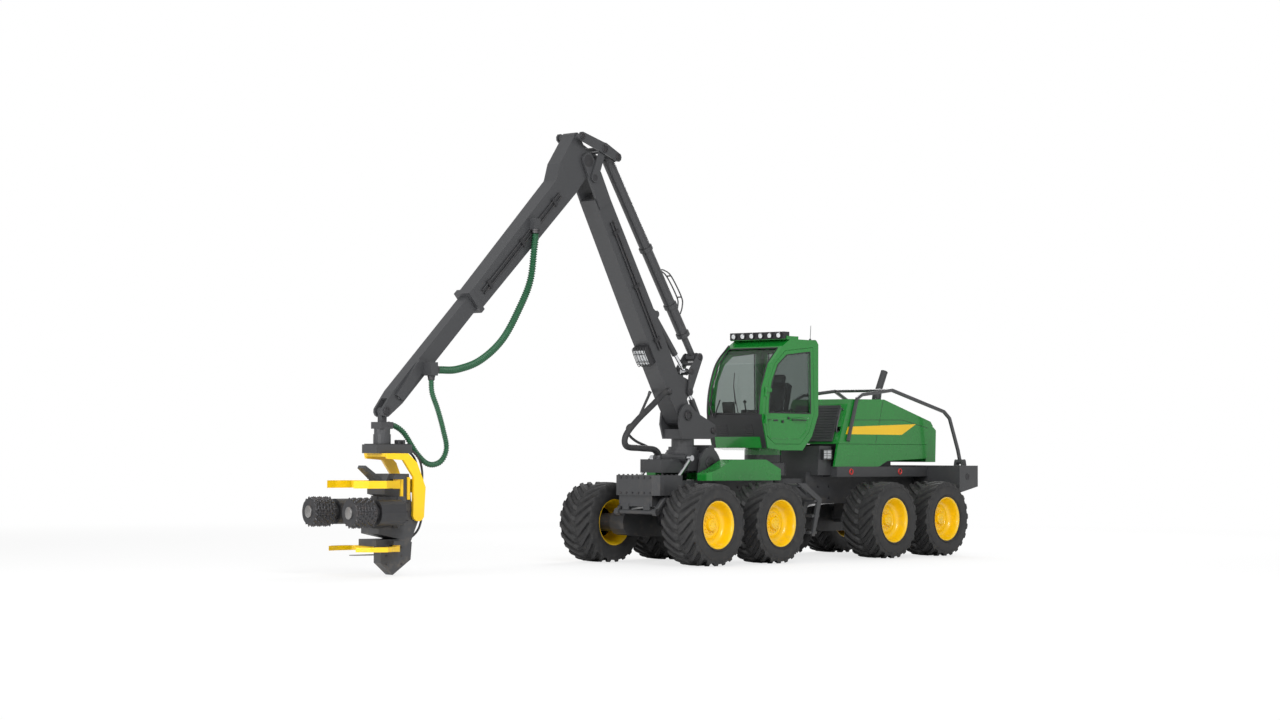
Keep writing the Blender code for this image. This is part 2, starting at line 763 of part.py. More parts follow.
def make_cab_inside():
    pivot = cab_pivot()
    floor = CAB_FLOOR + CAB_WALL + SEAT_GAP
    seat = [
        box((-2.35, -0.12, floor), (-2.00, 0.12, 2.22)),
        box((-2.40, -0.25, 2.20), (-1.90, 0.25, 2.36)),
        side_plate([(-2.30, 2.30), (-2.42, 2.25), (-2.60, 3.00), (-2.50, 3.05)], (-0.24, 0.24)),
        box((-2.40, -0.36, 2.52), (-1.95, -0.26, 2.58)),
        box((-2.40, 0.26, 2.52), (-1.95, 0.36, 2.58)),
        box((-2.42, -0.34, 2.30), (-2.34, 0.34, 2.55)),
    ]
    finished("driver_seat", "seat_cloth", seat, pivot=pivot)



# ---------------------------------------------------------------- crane


def make_crane_base():
    tilt = (TILT_AXIS[0], 0, TILT_AXIS[1])
    width = 0.375 - SEAT_GAP
    shapes = [
        cross_bar(TILT_AXIS, 0.16, (-0.34, 0.34), 20),
        cross_bar(TILT_AXIS, 0.10, (-width, width), 16),
        bar((SLEW_X, 0, 1.55), (SLEW_X, 0, PILLAR_LOW - SEAT_GAP), 0.27, steps=24),
        box((0.0, -0.23, 1.50), (0.82, 0.23, 1.72)),
        box((-0.30, -0.30, 1.53), (0.22, 0.30, 1.74)),
        side_plate(
            [(-0.28, 1.56), (-0.30, 1.96), (-0.42, 1.96), (-0.58, 1.60), (-0.50, 1.52)],
            (-0.16, 0.30),
        ),
        cross_bar(TILT_EYE, 0.075, (-TILT_CYLINDER_Y + 0.06, TILT_CYLINDER_Y - 0.06), 14),
    ]
    cuts = [cross_bar(TILT_EYE, 0.045, (-0.5, 0.5), 14)]
    finished("crane_base", "charcoal_paint", shapes, cuts, pivot=tilt)


def make_tilt_cylinders():
    """The two cylinders that lean the crane, on one foot pin, and their rods on one head pin."""
    y = TILT_CYLINDER_Y
    foot = (TILT_FOOT[0], 0, TILT_FOOT[1])
    mouth, bore_low, beyond, rod_low = [along(TILT_FOOT, TILT_EYE, d) for d in (0.80, 0.30, 0.85, 0.50)]
    barrels = [cross_bar(TILT_FOOT, 0.035, (-y, y), 12)]
    bores = []
    rods = [cross_bar(TILT_EYE, 0.03, (-y, y), 12)]
    for side in (-y, y):
        barrels += [
            bar((foot[0], side, foot[2]), (mouth[0], side, mouth[1]), TILT_CYLINDER_RADIUS, steps=12),
            cross_bar(TILT_FOOT, 0.06, (side - 0.045, side + 0.045), 12),
        ]
        bores.append(
            bar(
                (bore_low[0], side, bore_low[1]),
                (beyond[0], side, beyond[1]),
                TILT_ROD_RADIUS + BORE_GAP,
                steps=12,
            )
        )
        rods += [
            bar((rod_low[0], side, rod_low[1]), (TILT_EYE[0], side, TILT_EYE[1]), TILT_ROD_RADIUS, steps=12),
            cross_bar(TILT_EYE, 0.05, (side - 0.04, side + 0.04), 12),
        ]
    finished("tilt_cylinders", "charcoal_paint", barrels, bores, pivot=foot)
    finished("tilt_rods", "chrome", rods, pivot=foot)


def make_pillar():
    slew = (SLEW_X, 0, PILLAR_LOW)
    low = 2.06
    cheek = [
        (-0.58, 2.12),
        (-0.42, low),
        (0.28, low),
        (0.36, 2.30),
        *circle(BOOM_FOOT, 0.19, 10, 110, 6),
        (-0.08, 2.50),
        (-0.56, 2.30),
    ]
    shapes = [
        bar((SLEW_X, 0, PILLAR_LOW), (SLEW_X, 0, 2.20), PILLAR_RADIUS, steps=24),
        bar((SLEW_X, 0, PILLAR_LOW), (SLEW_X, 0, 1.93), PILLAR_RADIUS + 0.05, steps=24),
        box((-0.24, -0.20, low), (0.28, 0.20, 2.22)),
        *both_sides(side_plate, cheek, CLEVIS_Y),
        *both_sides(cross_bar, BOOM_FOOT, 0.085, (0.17 + SEAT_GAP, 0.24)),
        *both_sides(cross_bar, LIFT_PIN_LOW, 0.05, (0.06 + SEAT_GAP, 0.23), 12),
    ]
    finished("crane_pillar", "charcoal_paint", shapes, pivot=slew)


def boom_outline():
    """The main boom's side view: a box that is deepest in the middle, with a round foot."""
    length = hypot(ELBOW[0] - BOOM_FOOT[0], ELBOW[1] - BOOM_FOOT[1])
    heading = atan2(ELBOW[1] - BOOM_FOOT[1], ELBOW[0] - BOOM_FOOT[0]) * 180 / pi
    # (distance from the foot, half depth)
    depths = [(0.45, 0.19), (2.0, 0.20), (length - 0.62, 0.17)]
    below = [along(BOOM_FOOT, ELBOW, d, -h) for d, h in depths]
    above = [along(BOOM_FOOT, ELBOW, d, h) for d, h in reversed(depths)]
    return circle(BOOM_FOOT, 0.16, heading + 90, heading + 270, 9) + below + above


def make_main_boom():
    foot = (BOOM_FOOT[0], 0, BOOM_FOOT[1])
    length = hypot(ELBOW[0] - BOOM_FOOT[0], ELBOW[1] - BOOM_FOOT[1])
    fork = [
        along(BOOM_FOOT, ELBOW, length - 0.80, -0.15),
        along(BOOM_FOOT, ELBOW, length - 0.30, -0.14),
        *circle(ELBOW, 0.13, 0, 120, 5),
        along(BOOM_FOOT, ELBOW, length - 0.30, 0.17),
        along(BOOM_FOOT, ELBOW, length - 0.80, 0.15),
    ]
    bracket = [
        along(BOOM_FOOT, ELBOW, 0.15, 0.10),
        along(BOOM_FOOT, ELBOW, 0.95, 0.10),
        (0.36, 3.16),
        (0.04, 3.05),
        *circle(LIFT_PIN_HIGH, 0.07, 90, 200, 4),
        *circle(ROCKER_PIVOT, 0.07, 200, 270, 3),
    ]
    cylinder_lug = [
        along(BOOM_FOOT, ELBOW, 1.50, 0.12),
        along(BOOM_FOOT, ELBOW, 2.15, 0.12),
        *circle(STICK_CYLINDER_PIN, 0.06, 60, 240, 5),
    ]
    shapes = [
        side_plate(boom_outline(), (-0.17, 0.17)),
        *both_sides(side_plate, fork, FORK_Y),
        *both_sides(side_plate, bracket, BRACKET_Y),
        *both_sides(side_plate, cylinder_lug, (0.07, 0.10)),
        *both_sides(cross_bar, ROCKER_PIVOT, 0.045, (0.12, ROCKER_Y[0] - SEAT_GAP), 12),
        *both_sides(cross_bar, LIFT_PIN_HIGH, 0.04, (0.05 + SEAT_GAP, 0.12), 12),
        *both_sides(cross_bar, STICK_CYLINDER_PIN, 0.035, (0.056, 0.09), 12),
        *both_sides(cross_bar, ELBOW, 0.07, (0.14 + SEAT_GAP, 0.17), 16),
        *both_sides(cross_bar, LINK_PIN, 0.04, (0.17, LINK_Y[0] - SEAT_GAP), 12),
    ]
    finished("main_boom", "charcoal_paint", shapes, pivot=foot, solver="MANIFOLD")


def make_cylinder(name, start, end, barrel_length, rod_inside):
    """A hydraulic cylinder: a hollow barrel with an eye at its start, and a rod with an eye at its end.

    rod_inside holds where the rod begins at rest and where the bore begins, both from the start.
    """
    pivot = (start[0], 0, start[1])
    rod_start, bore_start = rod_inside
    spots = [along(start, end, d) for d in (barrel_length, rod_start, bore_start, barrel_length + 0.05)]
    mouth, rod_low, bore_low, beyond = [(x, 0, z) for x, z in spots]
    barrel = [
        bar(pivot, mouth, CYLINDER_RADIUS, steps=12),
        cross_bar(start, EYE_RADIUS, (-EYE_HALF_WIDTH, EYE_HALF_WIDTH), 14),
    ]
    bore = bar(bore_low, beyond, ROD_RADIUS + BORE_GAP, steps=12)
    finished(name + "_barrel", "charcoal_paint", barrel, [bore], pivot=pivot)
    rod = [
        bar(rod_low, (end[0], 0, end[1]), ROD_RADIUS, steps=12),
        cross_bar(end, EYE_RADIUS, (-EYE_HALF_WIDTH, EYE_HALF_WIDTH), 14),
    ]
    finished(name + "_rod", "chrome", rod, pivot=pivot)


def make_rocker():
    pivot = (ROCKER_PIVOT[0], 0, ROCKER_PIVOT[1])
    outline = [
        *circle(ROCKER_PIVOT, 0.075, 150, 330, 6),
        *circle(ROCKER_EYE, 0.07, -30, 50, 4),
        *circle(TUBE_LOW, 0.07, 40, 200, 5),
    ]
    shapes = [
        *both_sides(side_plate, outline, ROCKER_Y),
        cross_bar((-0.135, 3.315), 0.03, (-0.15, 0.15), 10),
        *both_sides(cross_bar, TUBE_LOW, 0.045, (0.09 + SEAT_GAP, 0.15), 12),
        *both_sides(cross_bar, ROCKER_EYE, 0.04, (0.05 + SEAT_GAP, 0.15), 12),
    ]
    finished("rocker", "charcoal_paint", shapes, pivot=pivot)


def make_tube_link():
    """A round tube between two eyes, with a slim neck at its low end, where the rocker folds over it."""
    low, high = TUBE_LOW, TUBE_HIGH
    pivot = (low[0], 0, low[1])
    shoulder = along(low, high, TUBE_NECK_LENGTH)
    shapes = [
        bar((low[0], 0, low[1]), (high[0], 0, high[1]), TUBE_NECK_RADIUS, steps=18),
        bar((shoulder[0], 0, shoulder[1]), (high[0], 0, high[1]), TUBE_RADIUS, steps=18),
    ]
    for place in (TUBE_NECK_LENGTH + 0.035, 1.02, 2.12):
        start, end = along(low, high, place - 0.035), along(low, high, place + 0.035)
        shapes.append(bar((start[0], 0, start[1]), (end[0], 0, end[1]), TUBE_RADIUS + 0.02, steps=18))
    shapes.append(cross_bar(low, 0.075, (-0.09, 0.09)))
    shapes.append(cross_bar(high, 0.075, (-0.16, 0.16)))
    finished("tube_link", "charcoal_paint", shapes, pivot=pivot)


def make_elbow_links():
    lever = (LINK_PIN[0], 0, LINK_PIN[1])
    shapes = [
        *both_sides(side_plate, bar_outline(LINK_PIN, PLATE_PIN, 0.075, 0.065), LINK_Y),
        cross_bar(PLATE_PIN, 0.035, (-LINK_Y[1], LINK_Y[1]), 12),
        *both_sides(cross_bar, PLATE_PIN, 0.045, (0.21, ELBOW_PLATE_Y[0] - SEAT_GAP), 12),
    ]
    finished("elbow_lever", "charcoal_paint", shapes, pivot=lever)

    outline = [
        *circle(TUBE_HIGH, 0.075, 140, 290, 5),
        *circle(PLATE_PIN, 0.085, 270, 290, 2),
        *circle(STICK_LUG, 0.075, -70, 100, 5),
        *circle(PLATE_PIN, 0.10, 80, 110, 2),
    ]
    plates = [
        *both_sides(side_plate, outline, ELBOW_PLATE_Y),
        *both_sides(cross_bar, TUBE_HIGH, 0.05, (0.16 + SEAT_GAP, 0.25), 12),
        cross_bar((2.02, 6.68), 0.02, (-0.24, 0.24), 10),
    ]
    finished("elbow_plates", "charcoal_paint", plates, pivot=(PLATE_PIN[0], 0, PLATE_PIN[1]))


def stick_point(distance, rise):
    return along(ELBOW, TIP, distance, rise)


def make_stick():
    """The outer part of the stick: a square tube that the extension slides in, round at the elbow."""
    pivot = (ELBOW[0], 0, ELBOW[1])
    heading = atan2(TIP[1] - ELBOW[1], TIP[0] - ELBOW[0]) * 180 / pi
    # (distance from the elbow, height above the axis) of the outline
    outline = [
        stick_point(0.55, -0.22),
        stick_point(STICK_OUTER_LENGTH, -0.17),
        stick_point(STICK_OUTER_LENGTH, 0.17),
        stick_point(0.75, 0.22),
        stick_point(0.50, 0.36),
        *circle(STICK_LUG, 0.07, heading + 40, heading + 150, 4),
        *circle(ELBOW, 0.17, heading + 130, heading + 270, 6),
    ]
    body = side_plate(outline, (-0.14, 0.14))
    collar = side_plate(
        [
            stick_point(STICK_OUTER_LENGTH - 0.09, -0.20),
            stick_point(STICK_OUTER_LENGTH, -0.20),
            stick_point(STICK_OUTER_LENGTH, 0.20),
            stick_point(STICK_OUTER_LENGTH - 0.09, 0.20),
        ],
        (-0.165, 0.165),
    )
    lug = both_sides(cross_bar, STICK_LUG, 0.047, (0.12, ELBOW_PLATE_Y[0] - MOVING_GAP), 14)
    far = STICK_OUTER_LENGTH - 0.12
    bore = side_plate(
        [
            stick_point(0.62, -0.145),
            stick_point(far, -0.145),
            stick_point(far, 0.145),
            stick_point(0.62, 0.145),
        ],
        (-0.118, 0.118),
    )
    seat_y, seat_z = 0.10 + SEAT_GAP, 0.13 + SEAT_GAP
    mouth = side_plate(
        [
            stick_point(1.0, -seat_z),
            stick_point(5.0, -seat_z),
            stick_point(5.0, seat_z),
            stick_point(1.0, seat_z),
        ],
        (-seat_y, seat_y),
    )
    bracket = box((3.70, 0.13, 5.30), (3.84, 0.24, 5.47))
    finished("stick", "charcoal_paint", [body, collar, *lug, bracket], [bore, mouth], pivot=pivot)


def make_stick_extension():
    pivot = (ELBOW[0], 0, ELBOW[1])
    reach = hypot(TIP[0] - ELBOW[0], TIP[1] - ELBOW[1])
    beam = side_plate(
        [
            stick_point(0.66, -0.13),
            stick_point(reach - 0.30, -0.13),
            stick_point(reach - 0.02, -0.09),
            *circle(TIP, 0.09, -110, 20, 5),
            stick_point(reach - 0.02, 0.09),
            stick_point(reach - 0.30, 0.13),
            stick_point(0.66, 0.13),
        ],
        (-0.10, 0.10),
    )
    slot = side_plate(
        [
            stick_point(reach - 0.16, -0.3),
            stick_point(reach + 0.3, -0.3),
            stick_point(reach + 0.3, 0.3),
            stick_point(reach - 0.16, 0.3),
        ],
        (-0.062, 0.062),
    )
    bosses = both_sides(cross_bar, TIP, 0.045, (0.052 + SEAT_GAP, 0.08), 12)
    arm = side_plate(
        [(6.50, 2.58), (6.62, 2.66), (6.16, 3.20), (5.98, 3.18), (5.98, 2.98), (6.12, 2.98)],
        (0.101, 0.14),
    )
    arm_root = box((6.44, 0.09, 2.60), (6.58, 0.13, 2.74))
    clamp = box((5.94, 0.12, 2.96), (6.08, 0.30, 3.16))
    slotted = finished_shape([beam], [slot])
    finished("stick_extension", "charcoal_paint", [slotted, *bosses, arm_root, arm, clamp], pivot=pivot)


def finished_shape(shapes, cuts):
    """A loose shape: the union of the shapes, less the cuts."""
    piece = finished("loose", "charcoal_paint", shapes, cuts)
    loose = placed(piece.data)
    bpy.data.objects.remove(piece)
    return loose


# ---------------------------------------------------------------- head


def make_tip_link():
    pivot = (TIP[0], 0, TIP[1])
    shapes = [
        cross_bar(TIP, 0.06, (-0.052, 0.052), 14),
        box((TIP[0] - 0.05, -0.045, 2.20), (TIP[0] + 0.05, 0.045, TIP[1])),
        box((TIP[0] - 0.12, -0.11, 2.16), (TIP[0] + 0.12, 0.11, 2.26)),
        bar((TIP[0], 0, ROTATOR_Z[0] + SEAT_GAP), (TIP[0], 0, 2.20), 0.12, steps=18),
    ]
    finished("tip_link", "charcoal_paint", shapes, pivot=pivot)


def make_rotator():
    """The turning half of the rotator, with the top plate that carries the tilt frame."""
    shapes = [
        bar((0, 0, ROTATOR_Z[1]), (0, 0, ROTATOR_Z[0]), 0.13, steps=18),
        box((-0.40, -0.20, 1.80), (0.22, 0.20, 1.93)),
    ]
    finished("rotator", "charcoal_paint", shapes, pivot=(0, 0, ROTATOR_Z[0]), parent=head_frame)


def make_tilt_frame():
    """The yellow frame that hangs from the top plate and carries the head at a pin behind it."""
    top = 1.80 - SEAT_GAP
    pin = HEAD_TILT_PIN
    leg = [
        (-0.26, top),
        (0.12, top),
        (0.10, top - 0.08),
        (-0.18, top - 0.10),
        (-0.36, 1.45),
        *circle(pin, 0.10, 20, -160, 7),
        (pin[0] - 0.12, 1.30),
        (-0.42, 1.66),
    ]
    shapes = [
        *both_sides(side_plate, leg, (0.26, 0.31)),
        box((-0.26, -0.28, top - 0.05), (0.12, 0.28, top)),
        box((pin[0] - 0.10, -0.28, 1.22), (pin[0] - 0.04, 0.28, 1.42)),
        *both_sides(cross_bar, pin, 0.06, (HEAD_BACK_HALF_WIDTH + SEAT_GAP, 0.28), 14),
    ]
    finished("tilt_frame", "yellow_paint", shapes, pivot=(pin[0], 0, pin[1]), parent=head_frame)


def make_head_body():
    pin = HEAD_TILT_PIN
    spine = [
        (-0.32, 1.50),
        (0.02, 1.50),
        (0.10, 1.36),
        (0.10, 1.20),
        (-0.06, 1.16),
        (-0.06, 0.74),
        (0.20, 0.70),
        (0.20, 0.62),
        (-0.36, 0.50),
        *circle(pin, 0.09, 240, 110, 6),
        (-0.36, 1.10),
    ]
    saw_box = [(0.16, 0.50), (0.16, 0.20), (-0.05, HEAD_LOW), (-0.22, 0.14), (-0.36, 0.24), (-0.38, 0.50)]
    arm_f, arm_s = ARM_PIN
    shapes = [
        side_plate(spine, (-HEAD_BACK_HALF_WIDTH, HEAD_BACK_HALF_WIDTH)),
        side_plate(saw_box, (0.05, 0.24)),
        box((-0.36, -0.24, 0.44), (0.24, 0.24, 0.54)),
        *both_sides(box, (arm_f - 0.07, 0.20, 1.10), (arm_f + 0.07, arm_s + 0.07, 1.17)),
        *both_sides(box, (arm_f - 0.07, 0.20, 0.70), (arm_f + 0.07, arm_s + 0.07, 0.77)),
        *both_sides(box, (-0.16, 0.20, 1.42), (0.02, arm_s + 0.07, 1.48)),
        *both_sides(box, (-0.16, 0.20, 0.46), (0.02, arm_s + 0.07, 0.52)),
        side_plate([(0.05, 1.42), (0.34, 1.62), (0.36, 1.58), (0.10, 1.36)], (-0.10, 0.10)),
    ]
    finished("head_body", "charcoal_paint", shapes, pivot=(pin[0], 0, pin[1]), parent=head_frame)


def make_feed_arm(name, side):
    """A swinging arm with its feed motor, and the spiked roller on the motor's shaft."""
    pin_f, pin_s = ARM_PIN
    pivot = (pin_f, side * pin_s, ROLLER_Z)
    low, high = 0.77 + SEAT_GAP, 1.10 - SEAT_GAP
    arm_plan = [
        (pin_f - 0.07, pin_s - 0.035),
        (pin_f + 0.06, pin_s - 0.03),
        (0.20, ROLLER_S - 0.12),
        (0.30, ROLLER_S - 0.10),
        (0.30, ROLLER_S + 0.12),
        (0.02, ROLLER_S + 0.12),
        (pin_f - 0.06, pin_s + 0.06),
    ]
    plan = [(f, side * s) for f, s in arm_plan]
    motor_start = (0.05, side * ROLLER_S, ROLLER_Z)
    motor_end = (ROLLER_F[0] - SEAT_GAP, side * ROLLER_S, ROLLER_Z)
    shapes = [
        floor_plate(plan, (low + 0.02, high - 0.02)),
        bar((pin_f, side * pin_s, low), (pin_f, side * pin_s, high), 0.055, steps=12),
        bar(motor_start, (0.46, side * ROLLER_S, ROLLER_Z), 0.19, steps=18),
        bar((0.40, side * ROLLER_S, ROLLER_Z), motor_end, 0.12, steps=16),
    ]
    finished(f"feed_arm_{name}", "black_plastic", shapes, pivot=pivot, parent=head_frame)
    drum_start = (ROLLER_F[0], side * ROLLER_S, ROLLER_Z)
    drum_end = (ROLLER_F[1], side * ROLLER_S, ROLLER_Z)
    drum = bar(drum_start, drum_end, ROLLER_RADIUS, steps=20)
    finished(f"feed_roller_{name}", "bare_steel", [drum], pivot=drum_start, parent=head_frame)


def knife_outline(pin, reach, width, bend):
    """A curved arm in plan: from its pin outwards, then round towards the stem."""
    pin_f, pin_s = pin
    outer = [
        (pin_f - 0.06, pin_s - 0.03),
        (pin_f - 0.02, pin_s + 0.06),
        (pin_f + reach * 0.45, pin_s + bend + width * 0.5),
        (pin_f + reach * 0.80, pin_s + bend * 0.85 + width * 0.3),
        (pin_f + reach, pin_s + bend * 0.30),
    ]
    inner = [
        (pin_f + reach * 0.78, pin_s + bend * 0.60 - width * 0.2),
        (pin_f + reach * 0.42, pin_s + bend * 0.80 - width * 0.5),
        (pin_f + 0.055, pin_s - 0.03),
    ]
    return outer + inner


def make_knives():
    pin_f, pin_s = -0.07, ARM_PIN[1]
    # (level, low z, high z, reach, bend, side)
    knives = [
        ("upper", 1.28, 1.42 - SEAT_GAP, 0.78, 0.22, 1),
        ("upper", 1.28, 1.42 - SEAT_GAP, 0.78, 0.22, -1),
        ("lower", 0.36, 0.46 - SEAT_GAP, 0.74, 0.24, 1),
        ("lower", 0.36, 0.46 - SEAT_GAP, 0.74, 0.24, -1),
    ]
    for level, low, high, reach, bend, side in knives:
        plan = [(f, side * s) for f, s in knife_outline((pin_f, pin_s), reach, 0.12, bend)]
        shapes = [
            floor_plate(plan, (low + 0.01, high - 0.02)),
            bar((pin_f, side * pin_s, low), (pin_f, side * pin_s, high), 0.055, steps=12),
        ]
        name = f"{level}_knife_{'left' if side > 0 else 'right'}"
        pivot = (pin_f, side * pin_s, high)
        finished(name, "yellow_paint", shapes, pivot=pivot, parent=head_frame)


def make_saw_bar():
    plan = [(-0.20, -0.14), (-0.20, -0.02), (0.44, -0.05), (0.50, -0.08), (0.44, -0.11)]
    shapes = [
        floor_plate(plan, (0.30, 0.315)),
        bar((-0.14, -0.08, 0.28), (-0.14, -0.08, 0.44 - SEAT_GAP), 0.045, steps=12),
    ]
    finished("saw_bar", "bare_steel", shapes, pivot=(-0.14, -0.08, 0.30), parent=head_frame)


# ---------------------------------------------------------------- hoses


def smooth_route(points, steps):
    """Points read from a smooth curve through the route's own points, with straight ends."""
    route = [Vector(p) for p in points]
    result = [route[0]]
    for i in range(1, len(route) - 2):
        a, b, c, d = route[i - 1 : i + 3]
        for k in range(steps):
            t = k / steps
            bend = (2 * a - 5 * b + 4 * c - d) * t**2 + (3 * b - a - 3 * c + d) * t**3
            result.append((2 * b + (c - a) * t + bend) / 2)
    return result + route[-2:]


STICK_HOSE = [
    (3.77, 0.20, 5.2995),
    (3.77, 0.20, 5.20),
    (3.81, 0.21, 4.98),
    (3.90, 0.22, 4.50),
    (4.12, 0.22, 4.08),
    (4.50, 0.22, 3.56),
    (4.97, 0.21, 3.22),
    (5.45, 0.21, 3.07),
    (5.80, 0.21, 3.05),
    (5.9395, 0.21, 3.05),
]
TIP_HOSE = [
    (6.00, 0.22, 2.9595),
    (6.00, 0.22, 2.88),
    (5.98, 0.22, 2.70),
    (5.86, 0.22, 2.45),
    (5.74, 0.21, 2.16),
    (5.66, 0.20, 1.88),
    (5.76, 0.18, 1.68),
    (5.98, 0.15, 1.64),
    (6.18, 0.11, 1.80),
    (6.38, 0.04, 2.10),
    (6.55, 0.0, 2.21),
    (6.6595, 0.0, 2.21),
]
CRANE_HOSE = [
    (0.62, 0.2255, 2.84),
    (0.76, 0.2255, 2.80),
    (1.04, 0.25, 2.62),
    (1.46, 0.26, 2.34),
    (1.72, 0.26, 2.10),
    (1.68, 0.24, 1.93),
    (1.30, 0.20, 1.90),
    (0.90, 0.14, 1.88),
    (0.74, 0.10, 1.80),
    (0.74, 0.10, 1.7205),
]
THIN_HOSE = [
    (0.62, -0.195, 2.84),
    (0.70, -0.20, 2.70),
    (0.92, -0.22, 2.36),
    (1.16, -0.20, 2.26),
    (1.20, -0.16, 2.14),
    (1.06, -0.12, 2.02),
    (0.80, -0.08, 1.92),
    (0.62, -0.06, 1.80),
    (0.62, -0.06, 1.7205),
]


def make_hoses():
    # (name, paint, radius, route, points between two of the route's own)
    hoses = [
        ("stick_hose", "hose_sleeve", 0.055, STICK_HOSE, 3),
        ("tip_hose", "hose_sleeve", 0.050, TIP_HOSE, 3),
        ("crane_hose", "black_plastic", 0.045, CRANE_HOSE, 3),
        ("thin_crane_hose", "black_plastic", 0.020, THIN_HOSE, 4),
    ]
    for name, paint, radius, route, steps in hoses:
        finished(name, paint, [tube(smooth_route(route, steps), radius, 2)])


def centre_on_origin():
    """Moves the machine along X so that the middle of its box, without its free hoses, is over the origin."""
    bpy.context.view_layer.update()
    graph = bpy.context.evaluated_depsgraph_get()
    ends = []
    for piece in parts.objects:
        if piece.type == "MESH" and not piece.name.endswith("hose"):
            evaluated = piece.evaluated_get(graph)
            ends += [(evaluated.matrix_world @ v.co).x for v in evaluated.data.vertices]
    machine.location.x = -(min(ends) + max(ends)) / 2
    bpy.context.view_layer.update()


make_running_gear()
make_front_frame()
make_front_deck()
make_rear_frame()
make_steps()
make_engine()
make_side_panels()
make_hood()
make_guard_rails()
make_exhaust()
make_cab_shell()
make_cab_glass()
make_door()
make_cab_inside()
make_crane_base()
make_tilt_cylinders()
make_pillar()
make_main_boom()
make_cylinder("lift_cylinder", LIFT_PIN_LOW, LIFT_PIN_HIGH, 0.60, (0.28, 0.10))
make_cylinder("stick_cylinder", STICK_CYLINDER_PIN, ROCKER_EYE, 0.86, (0.45, 0.10))
make_rocker()
make_tube_link()
make_elbow_links()
make_stick()
make_stick_extension()
make_tip_link()
make_rotator()
make_tilt_frame()
make_head_body()
make_feed_arm("left", 1)
make_feed_arm("right", -1)
make_knives()
make_saw_bar()
make_hoses()
centre_on_origin()
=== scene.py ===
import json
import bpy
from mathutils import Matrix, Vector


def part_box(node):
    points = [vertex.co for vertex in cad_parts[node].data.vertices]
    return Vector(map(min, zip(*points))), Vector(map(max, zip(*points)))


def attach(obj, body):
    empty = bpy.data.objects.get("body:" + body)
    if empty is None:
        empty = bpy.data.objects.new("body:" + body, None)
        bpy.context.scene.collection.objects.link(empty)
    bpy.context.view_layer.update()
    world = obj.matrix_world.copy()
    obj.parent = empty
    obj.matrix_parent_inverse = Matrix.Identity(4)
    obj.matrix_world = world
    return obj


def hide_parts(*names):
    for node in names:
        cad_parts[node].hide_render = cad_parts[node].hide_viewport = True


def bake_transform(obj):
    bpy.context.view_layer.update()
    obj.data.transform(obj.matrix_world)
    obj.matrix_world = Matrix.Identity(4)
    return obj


bl_info = {
    "name": "Forestry harvester finish",
    "version": (1, 0, 0),
    "blender": (4, 5, 0),
    "location": "View3D > Sidebar > Harvester",
    "description": "Dresses the packed harvester with tyres, hoses, trim, paint and a studio",
    "category": "Object",
}

from math import cos, hypot, pi, radians, sin

import bmesh
import bpy
import numpy as np
from bpy.props import FloatProperty, FloatVectorProperty, IntProperty, PointerProperty
from bpy.types import Operator, Panel, PropertyGroup
from mathutils import Matrix, Vector

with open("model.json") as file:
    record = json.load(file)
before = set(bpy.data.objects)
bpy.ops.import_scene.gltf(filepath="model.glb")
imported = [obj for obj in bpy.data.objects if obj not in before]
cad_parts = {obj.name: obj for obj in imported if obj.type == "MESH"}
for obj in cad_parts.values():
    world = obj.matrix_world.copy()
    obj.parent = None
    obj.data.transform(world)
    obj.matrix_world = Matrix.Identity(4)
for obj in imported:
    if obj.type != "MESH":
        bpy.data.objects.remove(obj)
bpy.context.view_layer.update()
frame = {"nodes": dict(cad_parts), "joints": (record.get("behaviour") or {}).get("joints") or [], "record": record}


# ---------------------------------------------------------------- places taken from the frame


def middle(node):
    low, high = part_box(node)
    return (np.array(low) + np.array(high)) / 2


def joint(name):
    return next(j for j in frame["joints"] if j["name"] == name)


# The machine's own origin is on the ground under the middle of the front bogie.
ORIGIN_X = (middle("front_leading_wheel_left")[0] + middle("front_trailing_wheel_left")[0]) / 2
TIP_X = joint("head_turn")["pos_m"][0]
HEAD_TURN = -10.0
WHEEL_NODES = [n for n in frame["nodes"] if "_wheel_" in n]


def spot(x, y, z):
    """A point given from the machine's own origin."""
    return (x + ORIGIN_X, y, z)


def spots(points):
    return np.array([spot(*p) for p in points], float)


def head_spot(forward, side, z):
    """A point of the head, given forward and to the side of the line that it hangs on."""
    turn = radians(HEAD_TURN)
    return (
        TIP_X + forward * cos(turn) - side * sin(turn),
        forward * sin(turn) + side * cos(turn),
        z,
    )


# ---------------------------------------------------------------- sizes and colours a user can change


def length(name, text, default, low=0.001, high=2.0):
    return FloatProperty(name=name, description=text, default=default, min=low, max=high, unit="LENGTH")


def colour(name, text, default):
    return FloatVectorProperty(
        name=name, description=text, default=default, size=3, min=0.0, max=1.0, subtype="COLOR"
    )


class HarvesterPaints(PropertyGroup):
    green: colour("Green", "Colour of the hood, cab and front covers", (0.006, 0.200, 0.022))
    charcoal: colour("Charcoal", "Colour of the frames and the crane", (0.042, 0.043, 0.046))
    yellow: colour("Yellow", "Colour of the rims and the head", (0.90, 0.56, 0.0))
    rubber: colour("Rubber", "Colour of the tyres", (0.020, 0.020, 0.021))
    sleeve: colour("Sleeve", "Colour of the spiral sleeves on the hoses", (0.012, 0.085, 0.035))


class HarvesterTyre(PropertyGroup):
    bars: IntProperty(name="Tread bars", description="Bars on each side of a tyre", default=22, min=8, max=48)
    bar_height: length("Bar height", "How far the bars stand out of the tread", 0.042, 0.005, 0.08)
    slant: FloatProperty(
        name="Slant",
        description="How far a bar leans round the tyre, in bar spacings",
        default=1.5,
        min=0.0,
        max=4.0,
    )


class HarvesterTrim(PropertyGroup):
    bolt_radius: length("Bolt radius", "Radius of the ordinary bolt heads", 0.017, 0.004, 0.05)
    edge: length("Edge", "Rounding of the small pieces' edges", 0.004, 0.0005, 0.02)


# ---------------------------------------------------------------- shader maths


